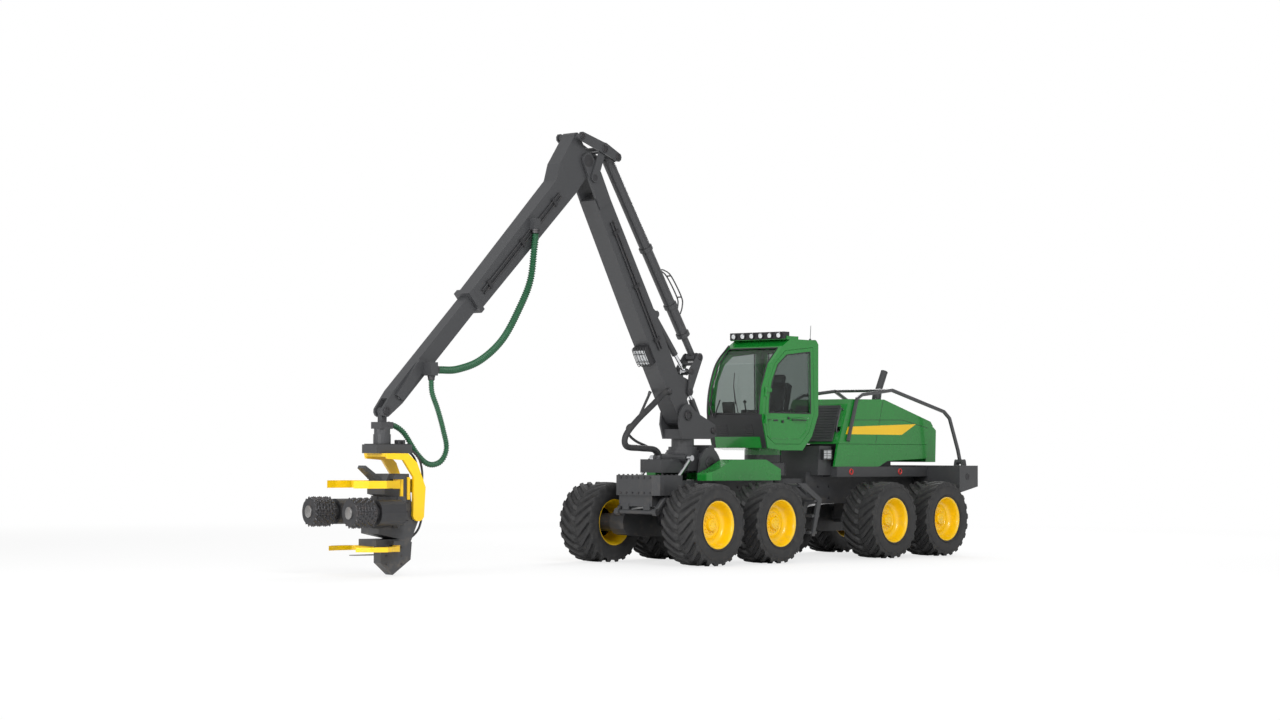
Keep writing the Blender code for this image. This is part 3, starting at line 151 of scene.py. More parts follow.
class Value:
    """A socket that adds, subtracts, multiplies and divides as numbers do."""

    def __init__(self, nodes, socket):
        self.nodes, self.socket = nodes, socket

    def maths(self, operation, first, second):
        return self.nodes.add("ShaderNodeMath", {"operation": operation}, first, second)

    def __add__(self, other):
        return self.maths("ADD", self, other)

    __radd__ = __add__

    def __mul__(self, other):
        return self.maths("MULTIPLY", self, other)

    __rmul__ = __mul__

    def __sub__(self, other):
        return self.maths("SUBTRACT", self, other)

    def __rsub__(self, other):
        return self.maths("SUBTRACT", other, self)

    def above(self, edge, width):
        """0 below edge, 1 above it, with a soft step of that width."""
        return self.nodes.add(
            "ShaderNodeMapRange",
            {"interpolation_type": "SMOOTHSTEP"},
            self,
            edge - width / 2,
            edge + width / 2,
        )


class Nodes:
    """The node tree of one material, with its shader."""

    def __init__(self, name):
        self.material = bpy.data.materials.new(name)
        self.material.use_nodes = True
        self.tree = self.material.node_tree
        self.shader = self.tree.nodes["Principled BSDF"]

    def add(self, kind, settings=None, *values, output=0, **named):
        node = self.tree.nodes.new(kind)
        for key, setting in (settings or {}).items():
            setattr(node, key, setting)
        for key, value in [*enumerate(values), *named.items()]:
            self.join(node.inputs[key if isinstance(key, int) else key.replace("_", " ")], value)
        return Value(self, node.outputs[output])

    def join(self, socket, value):
        if isinstance(value, Value):
            self.tree.links.new(value.socket, socket)
        elif value is not None:
            socket.default_value = value

    def place(self):
        return self.add("ShaderNodeTexCoord", None, output="Object")

    def noise(self, scale, detail=4.0, roughness=0.55):
        return self.add(
            "ShaderNodeTexNoise", None, self.place(), Scale=scale, Detail=detail, Roughness=roughness
        )

    def height(self):
        return self.add("ShaderNodeSeparateXYZ", None, self.place(), output="Z")

    def blend(self, amount, first, second):
        node = self.tree.nodes.new("ShaderNodeMix")
        node.data_type = "RGBA"
        self.join(node.inputs["Factor"], amount)
        for socket, value in zip([s for s in node.inputs if s.type == "RGBA"], (first, second)):
            self.join(socket, value if isinstance(value, Value) else (*value, 1.0))
        return Value(self, next(s for s in node.outputs if s.type == "RGBA"))

    def bump(self, height, strength, distance):
        return self.add(
            "ShaderNodeBump", None, Height=height, Strength=strength, Distance=distance
        )

    def set(self, **values):
        for key, value in values.items():
            self.join(self.shader.inputs[key.replace("_", " ")], value)
        return self.material


def shade(base, factor):
    return tuple(min(1.0, c * factor) for c in base)


def enamel(name, base, roughness, coat, dust=(0.23, 0.19, 0.14), dust_amount=0.18):
    """Sprayed paint: slow drifts of tone, orange peel, and a little dust low down and in patches."""
    n = Nodes(name)
    drift = n.noise(1.3, 3.0)
    peel = n.noise(160.0, 2.0)
    patches = n.noise(7.0, 6.0).above(0.60, 0.22)
    low = 1 - n.height().above(1.1, 1.6)
    dusty = patches * low * dust_amount
    tone = n.blend(drift, shade(base, 0.90), shade(base, 1.10))
    return n.set(
        Base_Color=n.blend(dusty, tone, dust),
        Roughness=roughness + drift * 0.06 + dusty * 0.5,
        Coat_Weight=coat,
        Coat_Roughness=0.08,
        Normal=n.bump(peel, 0.06, 0.002),
    )


def rubber_finish(name, base):
    n = Nodes(name)
    grain = n.noise(95.0, 5.0)
    scuffs = n.noise(9.0, 7.0, 0.7).above(0.56, 0.24)
    return n.set(
        Base_Color=n.blend(scuffs * 0.32, base, (0.075, 0.072, 0.068)),
        Roughness=0.62 + scuffs * 0.16,
        Normal=n.bump(grain, 0.25, 0.003),
    )


def steel_finish(name, base, roughness, rust):
    n = Nodes(name)
    streaks = n.noise(38.0, 6.0, 0.65)
    patches = n.noise(11.0, 5.0).above(0.58, 0.2)
    return n.set(
        Base_Color=n.blend(patches * rust, n.blend(streaks, shade(base, 0.75), base), (0.16, 0.085, 0.045)),
        Metallic=1 - patches * rust,
        Roughness=roughness + streaks * 0.16 + patches * rust * 0.4,
        Normal=n.bump(streaks, 0.12, 0.002),
    )


def chrome_finish(name):
    n = Nodes(name)
    haze = n.noise(22.0, 4.0)
    return n.set(Base_Color=(0.78, 0.79, 0.81, 1.0), Metallic=1.0, Roughness=0.05 + haze * 0.10)


def plastic_finish(name, base, roughness):
    n = Nodes(name)
    grain = n.noise(240.0, 3.0)
    drift = n.noise(4.0, 4.0)
    return n.set(
        Base_Color=n.blend(drift, shade(base, 0.85), shade(base, 1.2)),
        Roughness=roughness + drift * 0.12,
        Normal=n.bump(grain, 0.15, 0.001),
    )


def cloth_finish(name, base):
    n = Nodes(name)
    warp = n.add("ShaderNodeTexWave", {"bands_direction": "Z"}, n.place(), Scale=190.0, Distortion=0.6)
    weft = n.add("ShaderNodeTexWave", {"bands_direction": "Y"}, n.place(), Scale=190.0, Distortion=0.6)
    weave = (warp + weft) * 0.5
    return n.set(
        Base_Color=n.blend(weave, shade(base, 0.6), shade(base, 1.3)),
        Roughness=0.9,
        Normal=n.bump(weave, 0.4, 0.002),
    )


def glass_finish(name, tint, roughness=0.02):
    n = Nodes(name)
    film = n.noise(3.0, 3.0)
    return n.set(
        Base_Color=(*tint, 1.0), Transmission_Weight=1.0, IOR=1.3, Roughness=roughness + film * 0.03
    )


def glow_finish(name, base):
    n = Nodes(name)
    ribs = n.add("ShaderNodeTexWave", {"bands_direction": "Y"}, n.place(), Scale=60.0)
    return n.set(
        Base_Color=n.blend(ribs, shade(base, 0.7), base), Roughness=0.12 + ribs * 0.1, Coat_Weight=1.0
    )


finish = {}


def mix_finishes():
    paints = bpy.context.scene.harvester_paints
    green, charcoal, yellow = tuple(paints.green), tuple(paints.charcoal), tuple(paints.yellow)
    finish.update(
        green_paint=enamel("green_enamel", green, 0.24, 0.7),
        charcoal_paint=enamel("charcoal_enamel", charcoal, 0.40, 0.15),
        yellow_paint=enamel("yellow_enamel", yellow, 0.28, 0.5),
        red_paint=enamel("red_enamel", (0.55, 0.02, 0.015), 0.3, 0.4),
        tyre_rubber=rubber_finish("tread_rubber", tuple(paints.rubber)),
        black_rubber=rubber_finish("hose_rubber", (0.022, 0.022, 0.024)),
        black_plastic=plastic_finish("black_plastic", (0.020, 0.020, 0.022), 0.42),
        sleeve=plastic_finish("sleeve_plastic", tuple(paints.sleeve), 0.38),
        beige=plastic_finish("dash_plastic", (0.55, 0.42, 0.26), 0.55),
        window_glass=glass_finish("clear_glass", (0.86, 0.91, 0.89)),
        dark_glass=glass_finish("tinted_glass", (0.42, 0.47, 0.45)),
        seat_cloth=cloth_finish("seat_weave", (0.055, 0.055, 0.06)),
        bare_steel=steel_finish("worn_steel", (0.36, 0.355, 0.35), 0.34, 0.25),
        dark_steel=steel_finish("dark_steel", (0.10, 0.10, 0.105), 0.42, 0.1),
        chrome=chrome_finish("rod_chrome"),
        lamp=glow_finish("lamp_lens", (0.82, 0.84, 0.86)),
    )


SLOT_OF = {"sleeve": "black_rubber", "beige": "black_plastic", "dark_glass": "window_glass"}
SLOT_OF |= {"dark_steel": "bare_steel", "lamp": "window_glass", "red_paint": "yellow_paint"}


# ---------------------------------------------------------------- surfaces


class Surface:
    """Points and faces gathered from several shapes into one mesh."""

    def __init__(self):
        self.points, self.faces, self.total = [], [], 0

    def add(self, points, faces):
        points = np.asarray(points, float).reshape(-1, 3)
        self.faces += [tuple(int(i) + self.total for i in face) for face in faces]
        self.points.append(points)
        self.total += len(points)
        return self

    def grid(self, points, close_u=True, close_v=False, caps=True):
        """A surface through points[v, u]: rings that close round u, with flat ends where v is open."""
        rows, columns = points.shape[:2]
        index = np.arange(rows * columns).reshape(rows, columns)
        if close_u:
            index = np.concatenate([index, index[:, :1]], 1)
        if close_v:
            index = np.concatenate([index, index[:1]], 0)
        a, b, c, d = index[:-1, :-1], index[:-1, 1:], index[1:, 1:], index[1:, :-1]
        faces = np.stack([a, b, c, d], -1).reshape(-1, 4).tolist()
        if caps and close_u and not close_v:
            faces += [list(range(columns))[::-1], list(range((rows - 1) * columns, rows * columns))]
        return self.add(points, faces)

    def lathe(self, profile, start, direction, steps=32, closed=False):
        """(radius, distance) carried round the line from start: centre + axis t + r (u cos a + w sin a)."""
        axis, u, w = basis(direction)
        r, t = np.array(profile, float).T
        a = np.arange(steps) * 2 * pi / steps
        ring = np.cos(a)[:, None] * u + np.sin(a)[:, None] * w
        points = np.array(start, float) + t[:, None, None] * axis + r[:, None, None] * ring[None]
        return self.grid(points, close_v=closed)

    def sweep(self, path, radius, sides=12, closed=False):
        """A round section carried along a path; radius is one number or one for each point."""
        path = np.array(path, float)
        along = np.roll(path, -1, 0) - np.roll(path, 1, 0) if closed else np.gradient(path, axis=0)
        along /= np.linalg.norm(along, axis=1, keepdims=True)
        spread = path.max(0) - path.min(0)
        flat = np.eye(3)[int(np.argmin(spread))] + 0.001
        u = np.cross(along, flat)
        u /= np.linalg.norm(u, axis=1, keepdims=True)
        w = np.cross(along, u)
        a = np.arange(sides) * 2 * pi / sides
        r = np.broadcast_to(radius, len(path))[:, None, None]
        ring = np.cos(a)[None, :, None] * u[:, None] + np.sin(a)[None, :, None] * w[:, None]
        return self.grid(path[:, None] + r * ring, close_v=closed)

    def prism(self, outline, low, high, across=1):
        """An outline in the plane of the two other axes, carried from low to high along one axis."""
        flat = np.array(outline, float)
        rest = [i for i in range(3) if i != across]
        points = np.zeros((2, len(flat), 3))
        points[:, :, rest] = flat
        points[0, :, across], points[1, :, across] = low, high
        return self.grid(points)

    def block(self, low, high):
        (x0, y0, z0), (x1, y1, z1) = low, high
        return self.prism([(x0, z0), (x1, z0), (x1, z1), (x0, z1)], y0, y1)

    def bolts(self, centres, direction, radius, height):
        """Six-sided heads with a washer and a chamfer, one at each centre."""
        profile = [(radius * 1.35, 0), (radius * 1.35, height * 0.25), (radius, height * 0.25)]
        profile += [(radius, height * 0.85), (radius * 0.8, height)]
        for centre in centres:
            self.lathe(profile, centre, direction, 6)
        return self


def basis(direction):
    axis = np.array(direction, float)
    axis /= np.linalg.norm(axis)
    helper = np.eye(3)[int(np.argmin(np.abs(axis)))]
    u = np.cross(axis, helper)
    u /= np.linalg.norm(u)
    return axis, u, np.cross(axis, u)


def smooth_path(points, steps):
    """A curve through the points: each stretch is the cubic that leaves and meets along its neighbours."""
    p = np.array(points, float)
    p = np.concatenate([2 * p[:1] - p[1:2], p, 2 * p[-1:] - p[-2:-1]])
    t = (np.arange(steps) / steps)[None, :, None]
    a, b, c, d = p[:-3, None], p[1:-2, None], p[2:-1, None], p[3:, None]
    bend = (2 * a - 5 * b + 4 * c - d) * t**2 + (3 * b - a - 3 * c + d) * t**3
    curve = (2 * b + (c - a) * t + bend) / 2
    return np.concatenate([curve.reshape(-1, 3), p[-2:-1]])


def piece(name, surface, paint, body, edge=0.0, smooth=40, replaces=()):
    """A finished piece: faces out, edges rounded, painted, and riding on its body if it has one."""
    mesh = bpy.data.meshes.new(name)
    mesh.from_pydata(np.concatenate(surface.points).tolist(), [], surface.faces)
    work = bmesh.new()
    work.from_mesh(mesh)
    bmesh.ops.recalc_face_normals(work, faces=work.faces)
    work.to_mesh(mesh)
    work.free()
    mesh.shade_smooth()
    mesh.set_sharp_from_angle(angle=radians(smooth))
    mesh.materials.append(finish[paint])
    obj = bpy.data.objects.new(name, mesh)
    bpy.context.scene.collection.objects.link(obj)
    if edge:
        bevel = obj.modifiers.new("edge", "BEVEL")
        bevel.width, bevel.segments, bevel.limit_method = edge, 2, "ANGLE"
        bevel.harden_normals = True
    if body:
        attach(obj, body)
    if replaces:
        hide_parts(*replaces)
    return obj


class HarvesterOperator:
    """What every operator here shares."""

    bl_options = {"REGISTER", "UNDO"}

    def execute(self, context):
        self.make(context.scene)
        return {"FINISHED"}


# ---------------------------------------------------------------- wheels


def tread_surface(centre, side, tyre):
    """The tyre: an outline of sidewalls and tread carried round its axle.

    Round the tyre, each bar has a rising edge, a top and a falling edge. The columns of points lean
    with the bars, by slant bar spacings from the middle to the shoulder, and the far half of the
    tread is half a spacing behind the near half.
    """
    rim, radius = 0.375, 0.67
    half = 0.355
    wall = [(rim, half - 0.045), (rim + 0.03, half - 0.020), (0.455, half - 0.004), (0.52, half)]
    wall += [(0.575, half - 0.006), (0.612, half - 0.018), (0.630, half - 0.030)]
    tread_y = np.array([0.320, 0.300, 0.22, 0.13, 0.05, 0.006])
    crown = radius - tyre.bar_height - 0.018 * (tread_y / 0.32) ** 2
    near = wall + list(zip(crown, tread_y))
    r = np.array([p[0] for p in near] + [p[0] for p in near[::-1]])
    y = np.array([p[1] for p in near] + [-p[1] for p in near[::-1]])
    bar = np.array([0.0] * 5 + [0.55, 0.9] + [1.0] * 5 + [0.0])
    reach = np.concatenate([bar, bar[::-1]]) * (tyre.bar_height + 0.016 * (np.abs(y) / 0.32) ** 2 * 0.6)
    marks = np.array([0.0, 0.06, 0.12, 0.30, 0.48, 0.54, 0.60, 0.80])
    raised = np.array([0.0, 0.5, 1.0, 1.0, 1.0, 0.5, 0.0, 0.0])
    turns = (np.arange(tyre.bars)[:, None] + marks).ravel() / tyre.bars
    height = np.tile(raised, tyre.bars)
    far = np.where(y < 0, 0.5, 0.0)
    lean = tyre.slant * (np.clip(np.abs(y) / 0.32, 0, 1) ** 1.3) + far
    a = 2 * pi * (turns[None, :] + lean[:, None] / tyre.bars)
    shoulder = np.abs(y) > 0.29
    rr = np.minimum(r[:, None] + reach[:, None] * height[None, :], radius - 0.010 * shoulder[:, None])
    points = np.stack([rr * np.cos(a), np.broadcast_to(side * y[:, None], a.shape), rr * np.sin(a)], -1)
    surface = Surface().grid(points + np.array(centre), close_v=True)
    for turn_radius in (0.415, 0.585):
        ring_y = side * (half - 0.009)
        surface.sweep(circle_path(centre, turn_radius, ring_y, 72), 0.007, 6, closed=True)
    return surface


def circle_path(centre, radius, y, steps):
    a = np.arange(steps) * 2 * pi / steps
    ring = np.stack([radius * np.cos(a), np.full(steps, y), radius * np.sin(a)], -1)
    return ring + np.array(centre)


def rim_surface(centre, side):
    """The rim: flange, drop and dish, then a raised centre ring, carried round the axle."""
    out = (0, side, 0)
    profile = [
        (0.372, 0.292), (0.392, 0.300), (0.394, 0.318), (0.386, 0.326), (0.372, 0.322), (0.358, 0.300),
        (0.348, 0.262), (0.338, 0.205), (0.322, 0.160), (0.300, 0.136), (0.262, 0.126), (0.228, 0.138),
        (0.214, 0.150), (0.196, 0.152), (0.188, 0.140), (0.150, 0.140), (0.150, 0.060), (0.300, 0.050),
        (0.330, -0.25), (0.372, -0.315), (0.392, -0.318), (0.392, -0.300),
    ]
    return Surface().lathe(profile, centre, out, 72, closed=True)


def hub_surface(centre, side):
    """The axle's round end with its cover, and two rings of nuts."""
    out = (0, side, 0)
    profile = [(0.0, 0.06), (0.170, 0.06), (0.170, 0.128), (0.158, 0.146), (0.108, 0.150), (0.102, 0.186)]
    profile += [(0.092, 0.200), (0.040, 0.206), (0.0, 0.206)]
    surface = Surface().lathe(profile, centre, out, 40)
    for count, radius, size in ((12, 0.134, 0.013), (8, 0.062, 0.008)):
        level = 0.148 if count == 12 else 0.200
        a = np.arange(count) * 2 * pi / count
        ring = np.stack([radius * np.cos(a), np.full(count, side * level), radius * np.sin(a)], -1)
        surface.bolts(ring + np.array(centre), out, size, 0.020)
    return surface


class HARVESTER_OT_wheels(HarvesterOperator, Operator):
    """Tyres with slanted bars, dished rims and hubs with nuts"""

    bl_idname = "harvester.wheels"
    bl_label = "Wheels"

    def make(self, scene):
        for node in WHEEL_NODES:
            centre = middle(node)
            side = 1 if centre[1] > 0 else -1
            tyre = tread_surface(centre, side, scene.harvester_tyre)
            piece(f"{node}_tyre", tyre, "tyre_rubber", node, smooth=32, replaces=[node])
            piece(f"{node}_rim", rim_surface(centre, side), "yellow_paint", node)
            piece(f"{node}_hub", hub_surface(centre, side), "yellow_paint", node, 0.002)
            valve = Surface()
            valve.sweep(
                np.array(centre) + np.array([[0.31, side * 0.14, 0.0], [0.30, side * 0.19, 0.0]]), 0.008, 8
            )
            plate = [(0.305, 0.052), (0.290, 0.060), (0.0, 0.060), (0.0, -0.02), (0.24, -0.02)]
            valve.lathe(plate, centre, (0, side, 0), 32)
            piece(f"{node}_valve", valve, "charcoal_paint", node)


# ---------------------------------------------------------------- hoses


STICK_HOSE = spots(
    [(3.77, 0.20, 5.2995), (3.77, 0.20, 5.20), (3.81, 0.21, 4.98), (3.90, 0.22, 4.50), (4.12, 0.22, 4.08)]
    + [(4.50, 0.22, 3.56), (4.97, 0.21, 3.22), (5.45, 0.21, 3.07), (5.80, 0.21, 3.05), (5.9395, 0.21, 3.05)]
)
TIP_HOSE = spots(
    [(6.00, 0.22, 2.9595), (6.00, 0.22, 2.88), (5.98, 0.22, 2.70), (5.86, 0.22, 2.45), (5.74, 0.21, 2.16)]
    + [(5.66, 0.20, 1.88), (5.76, 0.18, 1.68), (5.98, 0.15, 1.64), (6.18, 0.11, 1.80), (6.38, 0.04, 2.10)]
    + [(6.55, 0.0, 2.21), (6.6595, 0.0, 2.21)]
)
CRANE_HOSE = spots(
    [(0.62, 0.2255, 2.84), (0.76, 0.2255, 2.80), (1.04, 0.25, 2.62), (1.46, 0.26, 2.34), (1.72, 0.26, 2.10)]
    + [(1.68, 0.24, 1.93), (1.30, 0.20, 1.90), (0.90, 0.14, 1.88), (0.74, 0.10, 1.80), (0.74, 0.10, 1.7205)]
)
THIN_HOSE = spots(
    [(0.62, -0.195, 2.84), (0.70, -0.20, 2.70), (0.92, -0.22, 2.36), (1.16, -0.20, 2.26), (1.20, -0.16, 2.14)]
    + [(1.06, -0.12, 2.02), (0.80, -0.08, 1.92), (0.62, -0.06, 1.80), (0.62, -0.06, 1.7205)]
)


class HARVESTER_OT_hoses(HarvesterOperator, Operator):
    """Hydraulic hoses in their sleeves, each one a fixed length"""

    bl_idname = "harvester.hoses"
    bl_label = "Hoses"

    def make(self, scene):
        # (node, route, radius, ribs to a metre, paint, bodies that it runs between)
        hoses = [
            ("stick_hose", STICK_HOSE, 0.058, 26, "sleeve", ("stick", "stick_extension")),
            ("tip_hose", TIP_HOSE, 0.045, 30, "sleeve", ("stick_extension", "tip_link")),
            ("crane_hose", CRANE_HOSE, 0.050, 0, "black_rubber", ("crane_pillar", "crane_base")),
            ("thin_crane_hose", THIN_HOSE, 0.022, 0, "black_rubber", ("crane_pillar", "crane_base")),
        ]
        for node, route, radius, ribs, paint, (first, last) in hoses:
            path = smooth_path(route, 24)
            run = np.concatenate([[0], np.cumsum(np.linalg.norm(np.diff(path, axis=0), axis=1))])
            even = np.linspace(0, run[-1], max(60, int(run[-1] * (ribs * 6 or 40))))
            path = np.stack([np.interp(even, run, path[:, i]) for i in range(3)], -1)
            swell = 0.16 * radius * np.sin(2 * pi * ribs * even) if ribs else 0.0 * even
            surface = Surface().sweep(path, radius - 0.16 * radius * bool(ribs) + swell, 18)
            hose = piece(f"{node}_tube", surface, paint, None, smooth=60, replaces=[node])
            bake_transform(hose)


# ---------------------------------------------------------------- crane


def on_line(start, end, distance, rise):
    """A point (x, z) that far along the line from start to end, and that far above it."""
    reach = hypot(end[0] - start[0], end[1] - start[1])
    ux, uz = (end[0] - start[0]) / reach, (end[1] - start[1]) / reach
    return (start[0] + ux * distance - uz * rise, start[1] + uz * distance + ux * rise)


def side_outline(start, end, places):
    """An outline (x, z) in the frame's own coordinates from (distance, rise) beside a line."""
    points = [on_line(start, end, distance, rise) for distance, rise in places]
    return [(x + ORIGIN_X, z) for x, z in points]


def machine_outline(points):
    return [(x + ORIGIN_X, z) for x, z in points]


def rod(surface, points, radius, steps=6, sides=10):
    """A round bar bent smoothly through points of the machine."""
    return surface.sweep(smooth_path(spots(points), steps), radius, sides)


BOOM_FOOT, ELBOW, TIP = (0.15, 2.45), (2.55, 6.48), (6.78, 2.42)
TUBE_LOW, TUBE_HIGH = (-0.23, 3.43), (1.92, 6.59)

# (x, z, y of the face that the cap sits on, cap radius, cap height, bolts, body)
PIN_CAPS = [
    (0.15, 2.45, 0.240, 0.085, 0.016, 8, "crane_pillar"),
    (-0.50, 2.20, 0.230, 0.055, 0.014, 4, "crane_pillar"),
    (-0.20, 1.66, 0.415, 0.110, 0.018, 8, "front_frame"),
    (2.55, 6.48, 0.190, 0.100, 0.005, 0, "main_boom"),
    (0.02, 2.85, 0.167, 0.050, 0.010, 0, "rocker"),
    (-0.02, 3.18, 0.167, 0.045, 0.010, 0, "rocker"),
    (-0.23, 3.43, 0.167, 0.050, 0.014, 4, "rocker"),
    (2.43, 6.22, 0.222, 0.052, 0.006, 0, "elbow_lever"),
    (1.92, 6.59, 0.257, 0.056, 0.014, 5, "elbow_plates"),
    (2.24, 6.70, 0.257, 0.066, 0.014, 6, "elbow_plates"),
    (2.77, 6.85, 0.257, 0.056, 0.014, 5, "elbow_plates"),
    (6.78, 2.42, 0.100, 0.062, 0.014, 5, "stick_extension"),
]


def pin_cap(x, z, face, radius, height, bolts, bolt_radius):
    """A round cover on each end of a pin: radius and distance carried round it, and a ring of bolts."""
    surface = Surface()
    a = np.arange(bolts) * 2 * pi / max(bolts, 1)
    for side in (-1, 1):
        centre, out = spot(x, side * face, z), (0, side, 0)
        profile = [(0.0, -0.004), (radius, -0.004), (radius, height * 0.7)]
        profile += [(radius * 0.93, height), (0.0, height)]
        surface.lathe(profile, centre, out, 32)
        ring = np.stack([np.cos(a), np.full(bolts, side * height / radius), np.sin(a)], -1)
        places = np.array(centre) + ring * np.array([radius * 0.68, radius, radius * 0.68])
        surface.bolts(places, out, bolt_radius * 0.6, 0.010)
    return surface


class HARVESTER_OT_crane(HarvesterOperator, Operator):
    """Pin covers, pipes, clamps, the work light and the hose guard"""

    bl_idname = "harvester.crane"
    bl_label = "Crane trim"

    def make(self, scene):
        trim = scene.harvester_trim
        for number, (x, z, face, radius, height, bolts, body) in enumerate(PIN_CAPS):
            cap = pin_cap(x, z, face, radius, height, bolts, trim.bolt_radius)
            piece(f"pin_cap_{number}", cap, "dark_steel", body)
        self.pipes("boom", BOOM_FOOT, ELBOW, 0.17, (1.25, 3.60), "main_boom")
        self.pipes("stick", ELBOW, TIP, 0.14, (0.85, 3.20), "stick")
        self.work_light(trim)
        self.hose_guard()
        self.fittings()

    def pipes(self, name, start, end, face, reach, body):
        """Two pipes beside a beam, held by three clamps."""
        pipes, clamps = Surface(), Surface()
        for rise in (-0.03, 0.035):
            distances = (reach[0], sum(reach) / 2, reach[1])
            places = [on_line(start, end, distance, rise) for distance in distances]
            rod(pipes, [(x, face + 0.018, z) for x, z in places], 0.013, 8)
        for share in (0.08, 0.5, 0.92):
            d = reach[0] + share * (reach[1] - reach[0])
            places = [(d - 0.03, -0.065), (d + 0.03, -0.065), (d + 0.03, 0.07), (d - 0.03, 0.07)]
            clamps.prism(side_outline(start, end, places), face - 0.002, face + 0.036)
            x, z = on_line(start, end, d, 0.0025)
            clamps.bolts([spot(x, face + 0.036, z)], (0, 1, 0), 0.010, 0.008)
        piece(f"{name}_pipes", pipes, "dark_steel", body)
        piece(f"{name}_clamps", clamps, "black_plastic", body, 0.003)

    def work_light(self, trim):
        """A wide lamp below the boom, with a cage of bars before its lens."""
        housing, lens, cage = Surface(), Surface(), Surface()
        low, high = 1.10, 1.44
        body_places = [(low, -0.165), (high, -0.165), (high, -0.27)]
        body_places += [(high - 0.04, -0.30), (low + 0.04, -0.30), (low, -0.27)]
        housing.prism(side_outline(BOOM_FOOT, ELBOW, body_places), -0.14, 0.14)
        lens_places = [(low + 0.045, -0.298), (high - 0.045, -0.298)]
        lens_places += [(high - 0.045, -0.306), (low + 0.045, -0.306)]
        lens.prism(side_outline(BOOM_FOOT, ELBOW, lens_places), -0.115, 0.115)
        for y in np.linspace(-0.12, 0.12, 5):
            ends = [(low + 0.01, -0.26), (low + 0.03, -0.325), (high - 0.03, -0.325), (high - 0.01, -0.26)]
            points = [on_line(BOOM_FOOT, ELBOW, *place) for place in ends]
            rod(cage, [(x, y, z) for x, z in points], 0.006)
        for d in (low + 0.10, high - 0.10):
            x, z = on_line(BOOM_FOOT, ELBOW, d, -0.325)
            rod(cage, [(x, -0.13, z), (x, 0.0, z), (x, 0.13, z)], 0.006)
        piece("work_light_housing", housing, "black_plastic", "main_boom", trim.edge * 2)
        piece("work_light_lens", lens, "lamp", "main_boom")
        piece("work_light_cage", cage, "black_plastic", "main_boom")

    def hose_guard(self):
        """Two bent bars that stand off the back of the round link."""
        guard = Surface()
        for y in (-0.05, 0.05):
            ends = [(0.80, 0.085), (0.88, 0.20), (1.02, 0.27), (1.45, 0.24), (1.62, 0.14), (1.66, 0.085)]
            points = [on_line(TUBE_LOW, TUBE_HIGH, *place) for place in ends]
            rod(guard, [(x, y, z) for x, z in points], 0.012)
        for d, rise in ((1.02, 0.27), (1.45, 0.24)):
            x, z = on_line(TUBE_LOW, TUBE_HIGH, d, rise)
            rod(guard, [(x, -0.055, z), (x, 0.0, z), (x, 0.055, z)], 0.012)
        piece("hose_guard", guard, "charcoal_paint", "tube_link")

    def fittings(self):
        """A crimped sleeve and a round nut on each end of each hose."""
        # (route, radius, body at its start, body at its end)
        ends = [
            (STICK_HOSE, 0.058, "stick", "stick_extension"),
            (TIP_HOSE, 0.045, "stick_extension", "tip_link"),
            (CRANE_HOSE, 0.050, "crane_pillar", "crane_base"),
            (THIN_HOSE, 0.022, "crane_pillar", "crane_base"),
        ]
        for number, (route, radius, first, last) in enumerate(ends):
            # (share of the hose's radius, distance along it)
            sleeve = [(0.9, 0.001), (1.30, 0.001), (1.30, 0.022), (1.15, 0.026)]
            sleeve += [(1.15, 0.060), (1.05, 0.066), (0.9, 0.066)]
            profile = [(radius * share, distance) for share, distance in sleeve]
            both = [("start", route[0], route[1], first), ("end", route[-1], route[-2], last)]
            for place, a, b, body in both:
                surface = Surface().lathe(profile, a, b - a, 24, closed=True)
                piece(f"hose_fitting_{number}_{place}", surface, "dark_steel", body)


# ---------------------------------------------------------------- head


def spiked_drum(start, direction, radius, width):
    """A drum whose radius rises to a blunt point at each tooth: two rows of teeth are half a tooth apart."""
    axis, u, w = basis(direction)
    rows, teeth = 7, 16
    marks = np.array([0.0, 0.22, 0.42, 0.58, 0.78])
    rise = np.array([0.0, 0.15, 1.0, 1.0, 0.15])
    t = ((np.arange(rows)[:, None] + marks) / rows).ravel()
    high = np.tile(rise, rows)
    t, high = np.append(t, 1.0), np.append(high, 0.0)
    a = ((np.arange(teeth)[:, None] + marks) / teeth).ravel() * 2 * pi
    around = np.tile(rise, teeth)
    r = radius - 0.034 + 0.034 * high[:, None] * around[None, :]
    turned = a[None, :] + (np.floor(t * rows).astype(int) % 2)[:, None] * pi / teeth
    ring = np.cos(turned)[..., None] * u + np.sin(turned)[..., None] * w
    points = np.array(start) + (t * width)[:, None, None] * axis + r[..., None] * ring
    return Surface().grid(points)


